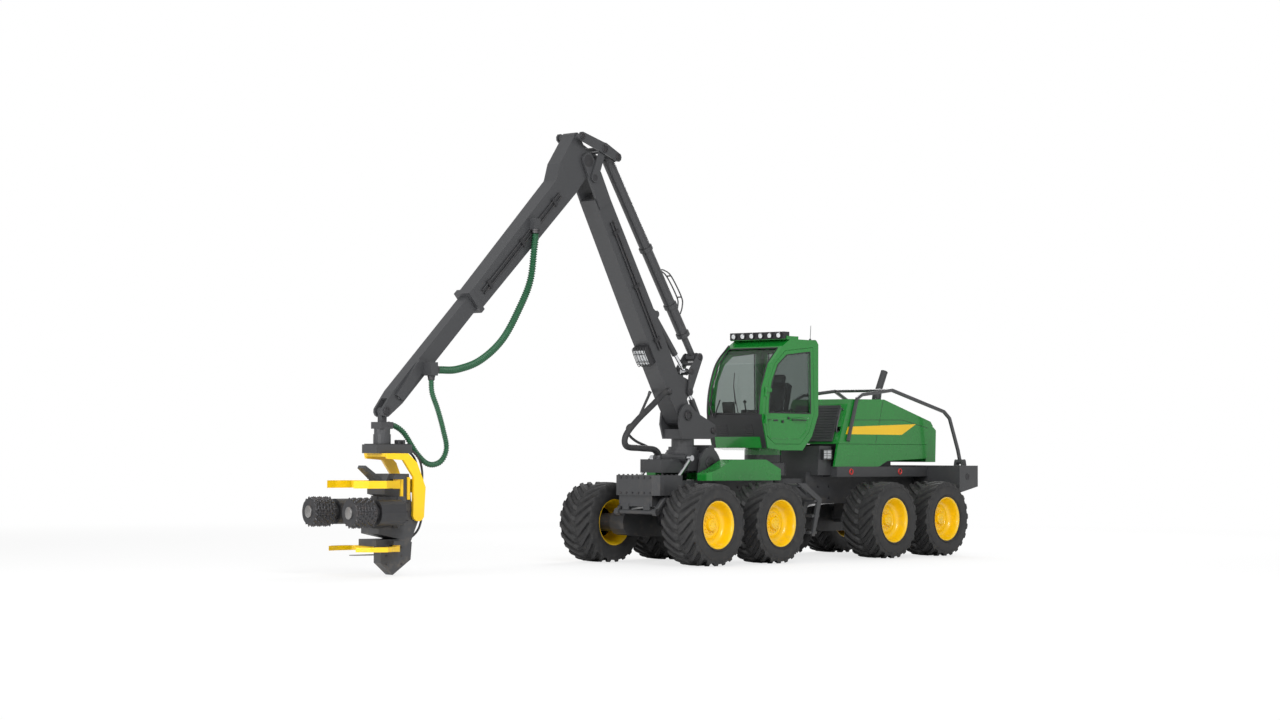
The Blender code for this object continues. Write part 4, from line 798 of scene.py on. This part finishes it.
class HARVESTER_OT_head(HarvesterOperator, Operator):
    """Spiked rollers, motor covers, knife pins, bolts, ribs and the head's own hoses"""

    bl_idname = "harvester.head"
    bl_label = "Head trim"

    def make(self, scene):
        trim = scene.harvester_trim
        ahead = np.array(head_spot(1, 0, 0)) - np.array(head_spot(0, 0, 0))
        aside = np.array(head_spot(0, 1, 0)) - np.array(head_spot(0, 0, 0))
        for side_name, side in (("left", 1), ("right", -1)):
            roller = f"feed_roller_{side_name}"
            drum = spiked_drum(head_spot(0.54, side * 0.56, 0.94), ahead, 0.225, 0.36)
            piece(f"{roller}_drum", drum, "dark_steel", roller, smooth=25, replaces=[roller])
            cover = Surface()
            nose = [(0.0, 0.0), (0.09, 0.0), (0.09, 0.018), (0.075, 0.026), (0.0, 0.026)]
            cover.lathe(nose, head_spot(0.898, side * 0.56, 0.94), ahead, 24)
            piece(f"{roller}_cover", cover, "bare_steel", roller)
            self.motor(side_name, side, ahead, trim)
            self.knife_pins(side_name, side)
        self.ribs(aside, trim)
        self.hoses()

    def motor(self, side_name, side, ahead, trim):
        """The motor's back cover, its flange bolts and two ports."""
        cover = Surface()
        back = head_spot(0.05, side * 0.56, 0.94)
        cover.lathe([(0.0, 0.0), (0.13, 0.0), (0.13, 0.03), (0.10, 0.045), (0.0, 0.045)], back, -ahead, 28)
        a = np.arange(8) * 2 * pi / 8 + pi / 8
        ring = [head_spot(0.05, side * 0.56 + 0.155 * cos(t), 0.94 + 0.155 * sin(t)) for t in a]
        cover.bolts(ring, -ahead, trim.bolt_radius * 0.8, 0.014)
        port = [(0.0, 0.0), (0.022, 0.0), (0.022, 0.03), (0.0, 0.03)]
        for lift in (-0.05, 0.05):
            cover.lathe(port, head_spot(0.005, side * 0.56, 0.94 + lift), -ahead, 12)
        piece(f"feed_motor_{side_name}_cover", cover, "black_plastic", f"feed_arm_{side_name}", 0.002)

    def knife_pins(self, side_name, side):
        """A cap over each knife's pin: on the head above the upper knife, on the lower knife itself."""
        profile = [(0.0, 0.0), (0.05, 0.0), (0.05, 0.010), (0.04, 0.016), (0.0, 0.016)]
        for level, face in (("upper", 1.4805), ("lower", 0.455)):
            knife = f"{level}_knife_{side_name}"
            cap = Surface().lathe(profile, head_spot(-0.07, side * 0.30, face), (0, 0, 1), 24)
            piece(f"{knife}_pin", cap, "dark_steel", "head" if level == "upper" else knife)

    def ribs(self, aside, trim):
        """Ribs and bolts on the head's sides, and the ports on the plate under the rotator."""
        ribs, bolts, plate = Surface(), Surface(), Surface()
        for side in (-1, 1):
            for f in (-0.33, -0.21):
                corners = [(f, 1.12), (f + 0.05, 1.12), (f + 0.05, 1.45), (f, 1.45)]
                faces = (side * 0.239, side * 0.262)
                ribs.grid(np.array([[head_spot(x, y, z) for x, z in corners] for y in faces]))
            places = [head_spot(f, side * 0.24, z) for f in (-0.30, -0.16) for z in (0.82, 0.95, 1.08)]
            bolts.bolts(places, side * aside, trim.bolt_radius * 0.8, 0.014)
        for z in (0.14, 0.26, 0.38):
            places = [head_spot(f, 0.24, z + 0.04) for f in (-0.20, 0.06)]
            bolts.bolts(places, aside, trim.bolt_radius * 0.8, 0.012)
        top = [(-0.38, -0.17), (0.20, -0.17), (0.20, 0.17), (-0.38, 0.17)]
        plate.grid(np.array([[head_spot(f, s, z) for f, s in top] for z in (1.9295, 1.940)]))
        port = [(0.0, 0.0), (0.025, 0.0), (0.025, 0.05), (0.018, 0.06), (0.0, 0.06)]
        for f, s in ((-0.30, 0.12), (-0.22, 0.12), (-0.30, 0.04), (-0.22, 0.04)):
            plate.lathe(port, head_spot(f, s, 1.938), (0, 0, 1), 12)
        piece("head_ribs", ribs, "yellow_paint", "head", trim.edge)
        piece("head_bolts", bolts, "dark_steel", "head")
        piece("rotator_ports", plate, "black_plastic", "rotator", 0.002)

    def hoses(self):
        """Two hoses from the plate under the rotator down the head's back."""
        for number, side in enumerate((-0.06, 0.06)):
            points = [head_spot(f, side, z) for f, z in HEAD_HOSE]
            path = smooth_path(points, 16)
            surface = Surface().sweep(path, 0.017, 12)
            hose = piece(f"head_hose_{number}", surface, "black_rubber", None, smooth=60)
            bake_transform(hose)


# (forward, z) down the back of the head
HEAD_HOSE = [(-0.38, 1.87), (-0.44, 1.86), (-0.60, 1.74), (-0.67, 1.52), (-0.66, 1.22)]
HEAD_HOSE += [(-0.68, 0.96), (-0.62, 0.70), (-0.48, 0.56), (-0.36, 0.56)]


# ---------------------------------------------------------------- cab


CAB_FRONT = [(-1.33, 2.50), (-1.33, 2.62), (-1.38, 2.95), (-1.55, 3.36), (-1.83, 3.63)]
SIDE_WINDOW = [(-1.50, 2.52), (-1.51, 2.72), (-1.58, 3.05), (-1.74, 3.34)]
SIDE_WINDOW += [(-1.98, 3.51), (-2.62, 3.58), (-2.64, 2.52)]


def frame_line(surface, points, radius):
    """A closed round line through corners of the machine, with a point every few centimetres."""
    corners = spots([*points, points[0]])
    t = (np.arange(8) / 8)[None, :, None]
    path = (corners[:-1, None] * (1 - t) + corners[1:, None] * t).reshape(-1, 3)
    return surface.sweep(path, radius, 8, closed=True)


class HARVESTER_OT_cab(HarvesterOperator, Operator):
    """Window seals, roof lamps, bars, vents, dashboard, seat, handle, wiper and aerial"""

    bl_idname = "harvester.cab"
    bl_label = "Cab trim"

    def make(self, scene):
        trim = scene.harvester_trim
        self.seals()
        self.roof(trim)
        self.front(trim)
        self.inside(trim)
        self.door()

    def seals(self):
        ring = [(x, 0.54, z) for x, z in CAB_FRONT] + [(x, -0.54, z) for x, z in reversed(CAB_FRONT)]
        body = frame_line(Surface(), ring, 0.012)
        frame_line(body, [(x, -0.62, z) for x, z in SIDE_WINDOW], 0.011)
        back = [(-0.48, 2.56), (0.48, 2.56), (0.48, 3.58), (-0.48, 3.58)]
        frame_line(body, [(-2.86, y, z) for y, z in back], 0.011)
        piece("cab_seals", body, "black_rubber", "cab")
        door = frame_line(Surface(), [(x, 0.62, z) for x, z in SIDE_WINDOW], 0.011)
        piece("door_seal", door, "black_rubber", "cab_door")

    def roof(self, trim):
        """The black lamp rack on the roof's front edge, six round lamps, a rear lamp and the aerial."""
        rack, rims, lenses = Surface(), Surface(), Surface()
        rack.block(spot(-2.075, -0.605, 3.79), spot(-1.925, 0.605, 3.915))
        shell = [(0.0, 0.0), (0.050, 0.0), (0.056, 0.040), (0.050, 0.046), (0.046, 0.038), (0.0, 0.036)]
        lens = [(0.0, 0.030), (0.046, 0.030), (0.040, 0.040), (0.0, 0.044)]
        beam = (1, 0, -0.15)
        for y in np.linspace(-0.50, 0.50, 6):
            rims.lathe(shell, spot(-1.935, y, 3.855), beam, 24)
            lenses.lathe(lens, spot(-1.934, y, 3.855), beam, 24)
        rear, rear_lens = Surface(), Surface()
        rear.block(spot(-2.84, 0.40, 3.66), spot(-2.80, 0.58, 3.80))
        rear_lens.block(spot(-2.872, 0.42, 3.68), spot(-2.838, 0.56, 3.77))
        aerial = rod(Surface(), [(-2.78, 0.50, 3.79), (-2.79, 0.50, 3.92), (-2.80, 0.50, 4.05)], 0.005)
        foot = [(0.0, -0.005), (0.022, -0.005), (0.018, 0.03), (0.0, 0.03)]
        aerial.lathe(foot, spot(-2.78, 0.50, 3.79), (0, 0, 1), 16)
        piece("lamp_rack", rack, "black_plastic", "cab", trim.edge * 2)
        piece("roof_lamp_rims", rims, "black_plastic", "cab")
        piece("roof_lamp_lenses", lenses, "lamp", "cab")
        piece("rear_lamp", rear, "black_plastic", "cab", trim.edge)
        piece("rear_lamp_lens", rear_lens, "lamp", "cab", trim.edge)
        piece("aerial", aerial, "black_plastic", "cab")

    def front(self, trim):
        """Guard bars on the windscreen's far edge, the black apron below it with two vents, and the wiper."""
        bars = Surface()
        edge = [(x + 0.028, -0.58, z) for x, z in [(-1.34, 2.42), *CAB_FRONT[1:], (-1.90, 3.69)]]
        rod(bars, edge, 0.016)
        rod(bars, [(-1.305, -0.57, 2.74), (-1.30, -0.51, 2.60), (-1.305, -0.45, 2.44)], 0.012)
        rod(bars, [(-1.305, -0.30, 2.74), (-1.30, -0.36, 2.60), (-1.305, -0.42, 2.44)], 0.012)
        piece("screen_bars", bars, "black_plastic", "cab")
        apron = Surface()
        side = [(-1.475, 1.925), (-1.335, 2.40), (-1.335, 2.488)]
        side += [(-1.316, 2.488), (-1.316, 2.39), (-1.458, 1.915)]
        apron.prism(machine_outline(side), -0.60, 0.60)
        piece("front_apron", apron, "black_plastic", "cab", trim.edge)
        vents = Surface()
        for y in (-0.28, 0.28):
            for z in np.linspace(2.14, 2.30, 6):
                x = -1.458 + (z - 1.915) * 0.299
                vents.block(spot(x - 0.004, y - 0.10, z), spot(x + 0.010, y + 0.10, z + 0.012))
        piece("apron_vents", vents, "dark_steel", "cab")
        wiper = Surface()
        rod(wiper, [(-1.315, 0.10, 2.49), (-1.305, 0.04, 2.75), (-1.325, -0.02, 2.98)], 0.008)
        rod(wiper, [(-1.318, 0.03, 2.66), (-1.345, -0.03, 2.96), (-1.44, -0.09, 3.20)], 0.007)
        piece("wiper", wiper, "black_rubber", "cab")

    def inside(self, trim):
        """The beige top of the dashboard, a screen, the padded seat and its two levers."""
        dash = Surface()
        top = [(-1.60, 2.472), (-1.37, 2.492), (-1.37, 2.512), (-1.58, 2.512), (-1.605, 2.49)]
        dash.prism(machine_outline(top), -0.49, 0.49)
        piece("dash_top", dash, "beige", "cab", trim.edge)
        screen = Surface()
        leaning = [(-1.56, 2.51), (-1.53, 2.51), (-1.50, 2.70), (-1.53, 2.71)]
        screen.prism(machine_outline(leaning), -0.42, -0.16)
        piece("control_screen", screen, "black_plastic", "cab", trim.edge)
        levers = Surface()
        grip = [(0.0, 0.0), (0.026, 0.02), (0.030, 0.05), (0.0, 0.075)]
        for y in (-0.31, 0.31):
            rod(levers, [(-2.02, y, 2.57), (-2.00, y, 2.64), (-1.98, y * 0.98, 2.70)], 0.012)
            levers.lathe(grip, spot(-1.98, y * 0.98, 2.68), (0, 0, 1), 16)
        piece("control_levers", levers, "black_plastic", "cab")
        for name, centre, size, lean in SEAT_PADS:
            pad = cushion(spot(*centre), size, lean)
            piece(name, pad, "seat_cloth", "cab", smooth=80)

    def door(self):
        """The pull, two knobs, the lock's slot and the lower panel's raised rim."""
        pull, knobs = Surface(), Surface()
        bow = [(-2.48, 0.622), (-2.46, 0.66), (-2.30, 0.665), (-2.14, 0.66), (-2.12, 0.622)]
        rod(pull, [(x, y, 2.40) for x, y in bow], 0.011)
        pull.block(spot(-1.74, 0.618, 2.375), spot(-1.62, 0.626, 2.40))
        knob = [(0.0, 0.0), (0.024, 0.0), (0.024, 0.022), (0.017, 0.030), (0.0, 0.030)]
        for x, z in ((-1.86, 2.37), (-2.02, 2.43)):
            knobs.lathe(knob, spot(x, 0.619, z), (0, 1, 0), 20)
        panel = Surface()
        outline = [(-1.56, 2.08), (-1.50, 2.40), (-2.58, 2.46), (-2.52, 2.22), (-2.34, 2.08)]
        frame_line(panel, [(x, 0.620, z) for x, z in outline], 0.008)
        piece("door_pull", pull, "black_plastic", "cab_door")
        piece("door_knobs", knobs, "black_plastic", "cab_door")
        piece("door_panel_rim", panel, "green_paint", "cab_door")


# (name, centre, size along x, y and z, lean from level)
SEAT_PADS = [
    ("seat_cushion", (-2.13, 0.0, 2.39), (0.50, 0.46, 0.11), 0),
    ("seat_back", (-2.42, 0.0, 2.72), (0.60, 0.44, 0.11), 104),
    ("seat_headrest", (-2.53, 0.0, 3.10), (0.20, 0.28, 0.09), 104),
]


def cushion(centre, size, lean):
    """A stuffed pad: each half axis times the signed square root of a sphere's cosine or sine."""
    u = np.linspace(0, 2 * pi, 49)[:-1]
    v = np.linspace(-pi / 2, pi / 2, 25)

    def root(value, power):
        return np.sign(value) * np.abs(value) ** power

    x = root(np.cos(v), 0.55)[:, None] * root(np.cos(u), 0.45)[None]
    y = root(np.cos(v), 0.55)[:, None] * root(np.sin(u), 0.45)[None]
    z = np.broadcast_to(root(np.sin(v), 0.8)[:, None], x.shape)
    points = np.stack([x * size[0] / 2, y * size[1] / 2, z * size[2] / 2], -1)
    turn = np.array(Matrix.Rotation(-radians(lean), 3, "Y"))
    return Surface().grid(points[1:-1] @ turn.T + np.array(centre))


# ---------------------------------------------------------------- chassis and hood


class HARVESTER_OT_chassis(HarvesterOperator, Operator):
    """Bolt rows, step grips, the bumper's holes as lips round painted shade, red rings and the side lamp"""

    bl_idname = "harvester.chassis"
    bl_label = "Chassis trim"

    def make(self, scene):
        trim = scene.harvester_trim
        size = trim.bolt_radius
        front, rear = Surface(), Surface()
        up, ahead, back = (0, 0, 1), (1, 0, 0), (-1, 0, 0)
        nose_top = [spot(x, y, 1.46) for x in np.linspace(0.68, 1.12, 5) for y in (-0.43, 0.43)]
        front.bolts(nose_top, up, size, 0.016)
        nose_front = [spot(1.20, y, z) for y in np.linspace(-0.32, 0.32, 6) for z in (1.17, 1.42)]
        front.bolts(nose_front, ahead, size, 0.014)
        a = np.arange(16) * 2 * pi / 16
        turntable = [spot(-2.10 + 0.36 * cos(t), 0.36 * sin(t), 1.66) for t in a]
        front.bolts(turntable, up, size * 0.7, 0.012)
        bumper = [spot(-6.63, y, z) for y in np.linspace(-1.2, 1.2, 9) for z in (1.30, 1.56)]
        rear.bolts(bumper, back, size, 0.009)
        for side in (-1, 1):
            for surface, places in ((rear, (-3.2, -3.5, -5.6, -5.9)), (front, (-1.0, -1.3, -1.6))):
                beam = [spot(x, side * 0.35, z) for x in places for z in (1.05, 1.25)]
                surface.bolts(beam, (0, side, 0), size, 0.014)
        piece("front_bolts", front, "dark_steel", "front_frame")
        piece("rear_bolts", rear, "dark_steel", "rear_frame")
        base = Surface()
        box_top = [spot(x, y, 1.72) for x in (0.34, 0.52, 0.66) for y in (-0.18, 0.18)]
        base.bolts(box_top, up, size * 0.8, 0.014)
        a = np.arange(14) * 2 * pi / 14
        slewing = [spot(0.02 + 0.235 * cos(t), 0.235 * sin(t), 1.874) for t in a if abs(sin(t)) > 0.5]
        base.bolts(slewing, up, size * 0.6, 0.0008)
        piece("crane_base_bolts", base, "dark_steel", "crane_base")
        self.skirt()
        self.side_lamp(trim)
        grips = Surface()
        for x, z in ((-1.88, 1.30), (-2.30, 1.04), (-2.24, 0.78), (-2.17, 0.50)):
            for offset in np.linspace(-0.085, 0.085, 7):
                low = spot(x + offset - 0.005, 0.785, z - 0.002)
                grips.block(low, spot(x + offset + 0.005, 1.015, z + 0.008))
        piece("step_grips", grips, "bare_steel", "front_frame")

    def skirt(self):
        """Red lifting rings on both sides, and at each end of the bumper a steel lip round a flat dark disc: the
        disc is painted shade that stands for the hole's inside.
        """
        rings, hole_lips_and_shade = Surface(), Surface()
        for side in (-1, 1):
            for x in (-3.75, -5.20):
                centre = np.array(spot(x, side * 0.664, 1.51))
                rings.sweep(circle_path(centre, 0.045, 0.0, 32), 0.012, 10, closed=True)
            centre, out = spot(-6.30, side * 1.368, 1.42), (0, side, 0)
            lip = [(0.030, -0.02), (0.062, -0.02), (0.062, 0.006), (0.030, 0.006)]
            hole_lips_and_shade.lathe(lip, centre, out, 28, closed=True)
            # a flat dark disc inside the lip: painted shade for the hole's depth
            hole_lips_and_shade.lathe([(0.0, -0.01), (0.031, -0.01), (0.031, 0.003), (0.0, 0.003)], centre, out, 28)
        piece("lifting_rings", rings, "red_paint", "rear_frame")
        piece("bumper_hole_lips_and_shade", hole_lips_and_shade, "dark_steel", "rear_frame")

    def side_lamp(self, trim):
        """A lamp on the box behind the cab, with a cage of bars."""
        housing, lens, cage = Surface(), Surface(), Surface()
        housing.block(spot(-3.30, 0.515, 1.72), spot(-3.06, 0.58, 1.90))
        lens.block(spot(-3.285, 0.575, 1.735), spot(-3.075, 0.588, 1.885))
        for z in np.linspace(1.745, 1.875, 4):
            bow = [(-3.31, 0.56), (-3.29, 0.605), (-3.18, 0.612), (-3.07, 0.605), (-3.05, 0.56)]
            rod(cage, [(x, y, z) for x, y in bow], 0.005)
        for x in (-3.24, -3.12):
            rod(cage, [(x, 0.612, 1.73), (x, 0.614, 1.81), (x, 0.612, 1.89)], 0.005)
        piece("side_lamp_housing", housing, "black_plastic", "rear_frame", trim.edge)
        piece("side_lamp_lens", lens, "lamp", "rear_frame")
        piece("side_lamp_cage", cage, "black_plastic", "rear_frame")


# (start, end) of each dark line on the hood's sides, as (x, z)
HOOD_SEAMS = [
    ((-4.50, 2.02), (-4.72, 2.79)),
    ((-5.30, 2.44), (-6.10, 2.30)),
    ((-3.60, 2.42), (-5.30, 2.44)),
]


class HARVESTER_OT_hood(HarvesterOperator, Operator):
    """The hood's dark front screen, seams, stripe, handles and rear grille"""

    bl_idname = "harvester.hood"
    bl_label = "Hood trim"

    def make(self, scene):
        screen = Surface()
        slab = [(-3.420, 2.04), (-3.401, 2.04), (-3.652, 2.68), (-3.671, 2.68)]
        screen.prism(machine_outline(slab), -0.50, 0.50)
        for z in np.linspace(2.10, 2.62, 12):
            x = -3.401 - (z - 2.04) * 0.392
            screen.block(spot(x - 0.006, -0.47, z), spot(x + 0.006, 0.47, z + 0.014))
        piece("hood_screen", screen, "charcoal_paint", "hood", 0.002)
        stripe, seams, loops = Surface(), Surface(), Surface()
        for side in (-1, 1):
            face = (side * 0.639, side * 0.6415)
            stripe.prism(machine_outline([(-3.62, 2.17), (-3.68, 2.30), (-5.72, 2.37), (-5.28, 2.17)]), *face)
            for (x0, z0), (x1, z1) in HOOD_SEAMS:
                reach = hypot(x1 - x0, z1 - z0)
                nx, nz = -(z1 - z0) / reach * 0.004, (x1 - x0) / reach * 0.004
                corners = [(x0 + nx, z0 + nz), (x1 + nx, z1 + nz), (x1 - nx, z1 - nz), (x0 - nx, z0 - nz)]
                seams.prism(machine_outline(corners), side * 0.639, side * 0.6412)
            loop = [(-3.50, 2.22), (-3.44, 2.24), (-3.56, 2.60), (-3.63, 2.60)]
            rod(loops, [(x, side * 0.57, z) for x, z in loop], 0.012)
        piece("hood_stripe", stripe, "yellow_paint", "hood")
        piece("hood_seams", seams, "black_rubber", "hood")
        piece("hood_loops", loops, "charcoal_paint", "hood")
        grille = Surface()
        for z in np.linspace(1.74, 2.20, 14):
            x = -6.44 - (z - 1.68) * 0.0345
            grille.block(spot(x - 0.010, -0.50, z), spot(x + 0.004, 0.50, z + 0.016))
        piece("rear_grille_slats", grille, "black_plastic", "hood")
        mouth, out = spot(-5.55, 0.05, 3.32), (-0.46, 0, 0.888)
        lip = [(0.050, 0.0), (0.066, 0.0), (0.066, 0.012), (0.050, 0.012)]
        tip = Surface().lathe(lip, mouth, out, 28, closed=True)
        tip.lathe([(0.0, 0.0), (0.051, 0.0), (0.051, 0.004), (0.0, 0.004)], mouth, out, 28)
        piece("exhaust_lip", tip, "dark_steel", "hood")


# ---------------------------------------------------------------- stage


class HARVESTER_OT_stage(HarvesterOperator, Operator):
    """A plain floor, soft lights and the camera"""

    bl_idname = "harvester.stage"
    bl_label = "Stage"

    def make(self, scene):
        reach = 400.0
        mesh = bpy.data.meshes.new("floor")
        corners = [(-reach, -reach, 0), (reach, -reach, 0), (reach, reach, 0), (-reach, reach, 0)]
        mesh.from_pydata(corners, [], [(0, 1, 2, 3)])
        floor = bpy.data.objects.new("floor", mesh)
        scene.collection.objects.link(floor)
        n = Nodes("floor_paint")
        n.set(Base_Color=(0.86, 0.86, 0.86, 1.0), Roughness=0.85)
        white = n.add("ShaderNodeEmission", None, (1.0, 1.0, 1.0, 1.0), 1.0)
        seen = n.add("ShaderNodeLightPath", None, output="Is Camera Ray")
        away = n.add("ShaderNodeVectorMath", {"operation": "LENGTH"}, n.place(), output="Value")
        share = 0.72 + away.above(20.0, 16.0) * 0.28
        mixed = n.add("ShaderNodeMixShader", None, seen * share, Value(n, n.shader.outputs[0]), white)
        n.tree.links.new(mixed.socket, n.tree.nodes["Material Output"].inputs["Surface"])
        mesh.materials.append(n.material)
        self.light(scene)
        self.aim_camera(scene)

    def light(self, scene):
        world = bpy.data.worlds.new("studio")
        world.use_nodes = True
        tree = world.node_tree
        back = tree.nodes["Background"]
        back.inputs["Color"].default_value = (1.0, 1.0, 1.0, 1.0)
        path = tree.nodes.new("ShaderNodeLightPath")
        level = tree.nodes.new("ShaderNodeMapRange")
        level.inputs["To Min"].default_value = 0.55
        tree.links.new(path.outputs["Is Camera Ray"], level.inputs["Value"])
        tree.links.new(level.outputs["Result"], back.inputs["Strength"])
        scene.world = world
        # (name, place, size, power)
        lamps = [
            ("key_light", (16.0, 22.0, 18.0), 12.0, 5200.0),
            ("front_light", (26.0, 2.0, 9.0), 10.0, 2600.0),
            ("rim_light", (-18.0, -8.0, 16.0), 12.0, 3000.0),
        ]
        for name, place, size, power in lamps:
            lamp = bpy.data.lights.new(name, "AREA")
            lamp.size, lamp.energy = size, power
            obj = bpy.data.objects.new(name, lamp)
            obj.location = place
            obj.rotation_euler = (Vector((0, 0, 2)) - Vector(place)).to_track_quat("-Z", "Y").to_euler()
            scene.collection.objects.link(obj)

    def aim_camera(self, scene):
        camera = bpy.data.cameras.new("camera")
        camera.lens, camera.sensor_width = 72.1, 36.0
        camera.clip_end = 1000.0
        obj = bpy.data.objects.new("camera", camera)
        heading, rise, roll = -2.411, 0.037, 0.004
        ahead = Vector((cos(rise) * cos(heading), cos(rise) * sin(heading), sin(rise)))
        turn = ahead.to_track_quat("-Z", "Y").to_matrix().to_4x4() @ Matrix.Rotation(roll, 4, "Z")
        obj.matrix_world = Matrix.Translation(spot(32.374, 28.026, 1.791)) @ turn
        scene.collection.objects.link(obj)
        scene.camera = obj
        scene.view_settings.view_transform = "Standard"


# ---------------------------------------------------------------- painted frame nodes


# (paint, nodes) of the frame's pieces whose finish isn't their slot's
OTHER_PAINTS = [
    ("dark_steel", ["feed_roller_left", "feed_roller_right"]),
    ("dark_glass", ["door_window", "right_window", "rear_window"]),
    ("charcoal_paint", ["exhaust_stack"]),
]


class HARVESTER_OT_paint(HarvesterOperator, Operator):
    """Gives every piece of the frame its finish"""

    bl_idname = "harvester.paint"
    bl_label = "Paint"

    def make(self, scene):
        mix_finishes()
        slots = {part["node"]: part["material_slot"] for part in frame["record"]["subparts"]}
        slots |= {node: paint for paint, nodes in OTHER_PAINTS for node in nodes}
        for node, obj in frame["nodes"].items():
            for i in range(len(obj.material_slots)):
                obj.material_slots[i].material = finish[slots[node]]


OPERATORS = [
    HARVESTER_OT_paint,
    HARVESTER_OT_stage,
    HARVESTER_OT_hoses,
    HARVESTER_OT_wheels,
    HARVESTER_OT_chassis,
    HARVESTER_OT_hood,
    HARVESTER_OT_cab,
    HARVESTER_OT_crane,
    HARVESTER_OT_head,
]


class HARVESTER_PT_panel(Panel):
    """Lists the operators in the order that they run in"""

    bl_label = "Harvester"
    bl_space_type = "VIEW_3D"
    bl_region_type = "UI"
    bl_category = "Harvester"

    def draw(self, context):
        for operator in OPERATORS:
            self.layout.operator(operator.bl_idname)
        for attribute in GROUPS:
            group = getattr(context.scene, attribute)
            for name in group.__annotations__:
                self.layout.prop(group, name)


GROUPS = {
    "harvester_paints": HarvesterPaints,
    "harvester_tyre": HarvesterTyre,
    "harvester_trim": HarvesterTrim,
}


def register():
    for group in (*GROUPS.values(), *OPERATORS, HARVESTER_PT_panel):
        bpy.utils.register_class(group)
    for name, group in GROUPS.items():
        setattr(bpy.types.Scene, name, PointerProperty(type=group))


def unregister():
    for name in GROUPS:
        delattr(bpy.types.Scene, name)
    for group in (HARVESTER_PT_panel, *reversed(OPERATORS), *GROUPS.values()):
        bpy.utils.unregister_class(group)


def main():
    register()
    for operator in OPERATORS:
        group, name = operator.bl_idname.split(".")
        getattr(getattr(bpy.ops, group), name)()


if __name__ == "__main__":
    main()
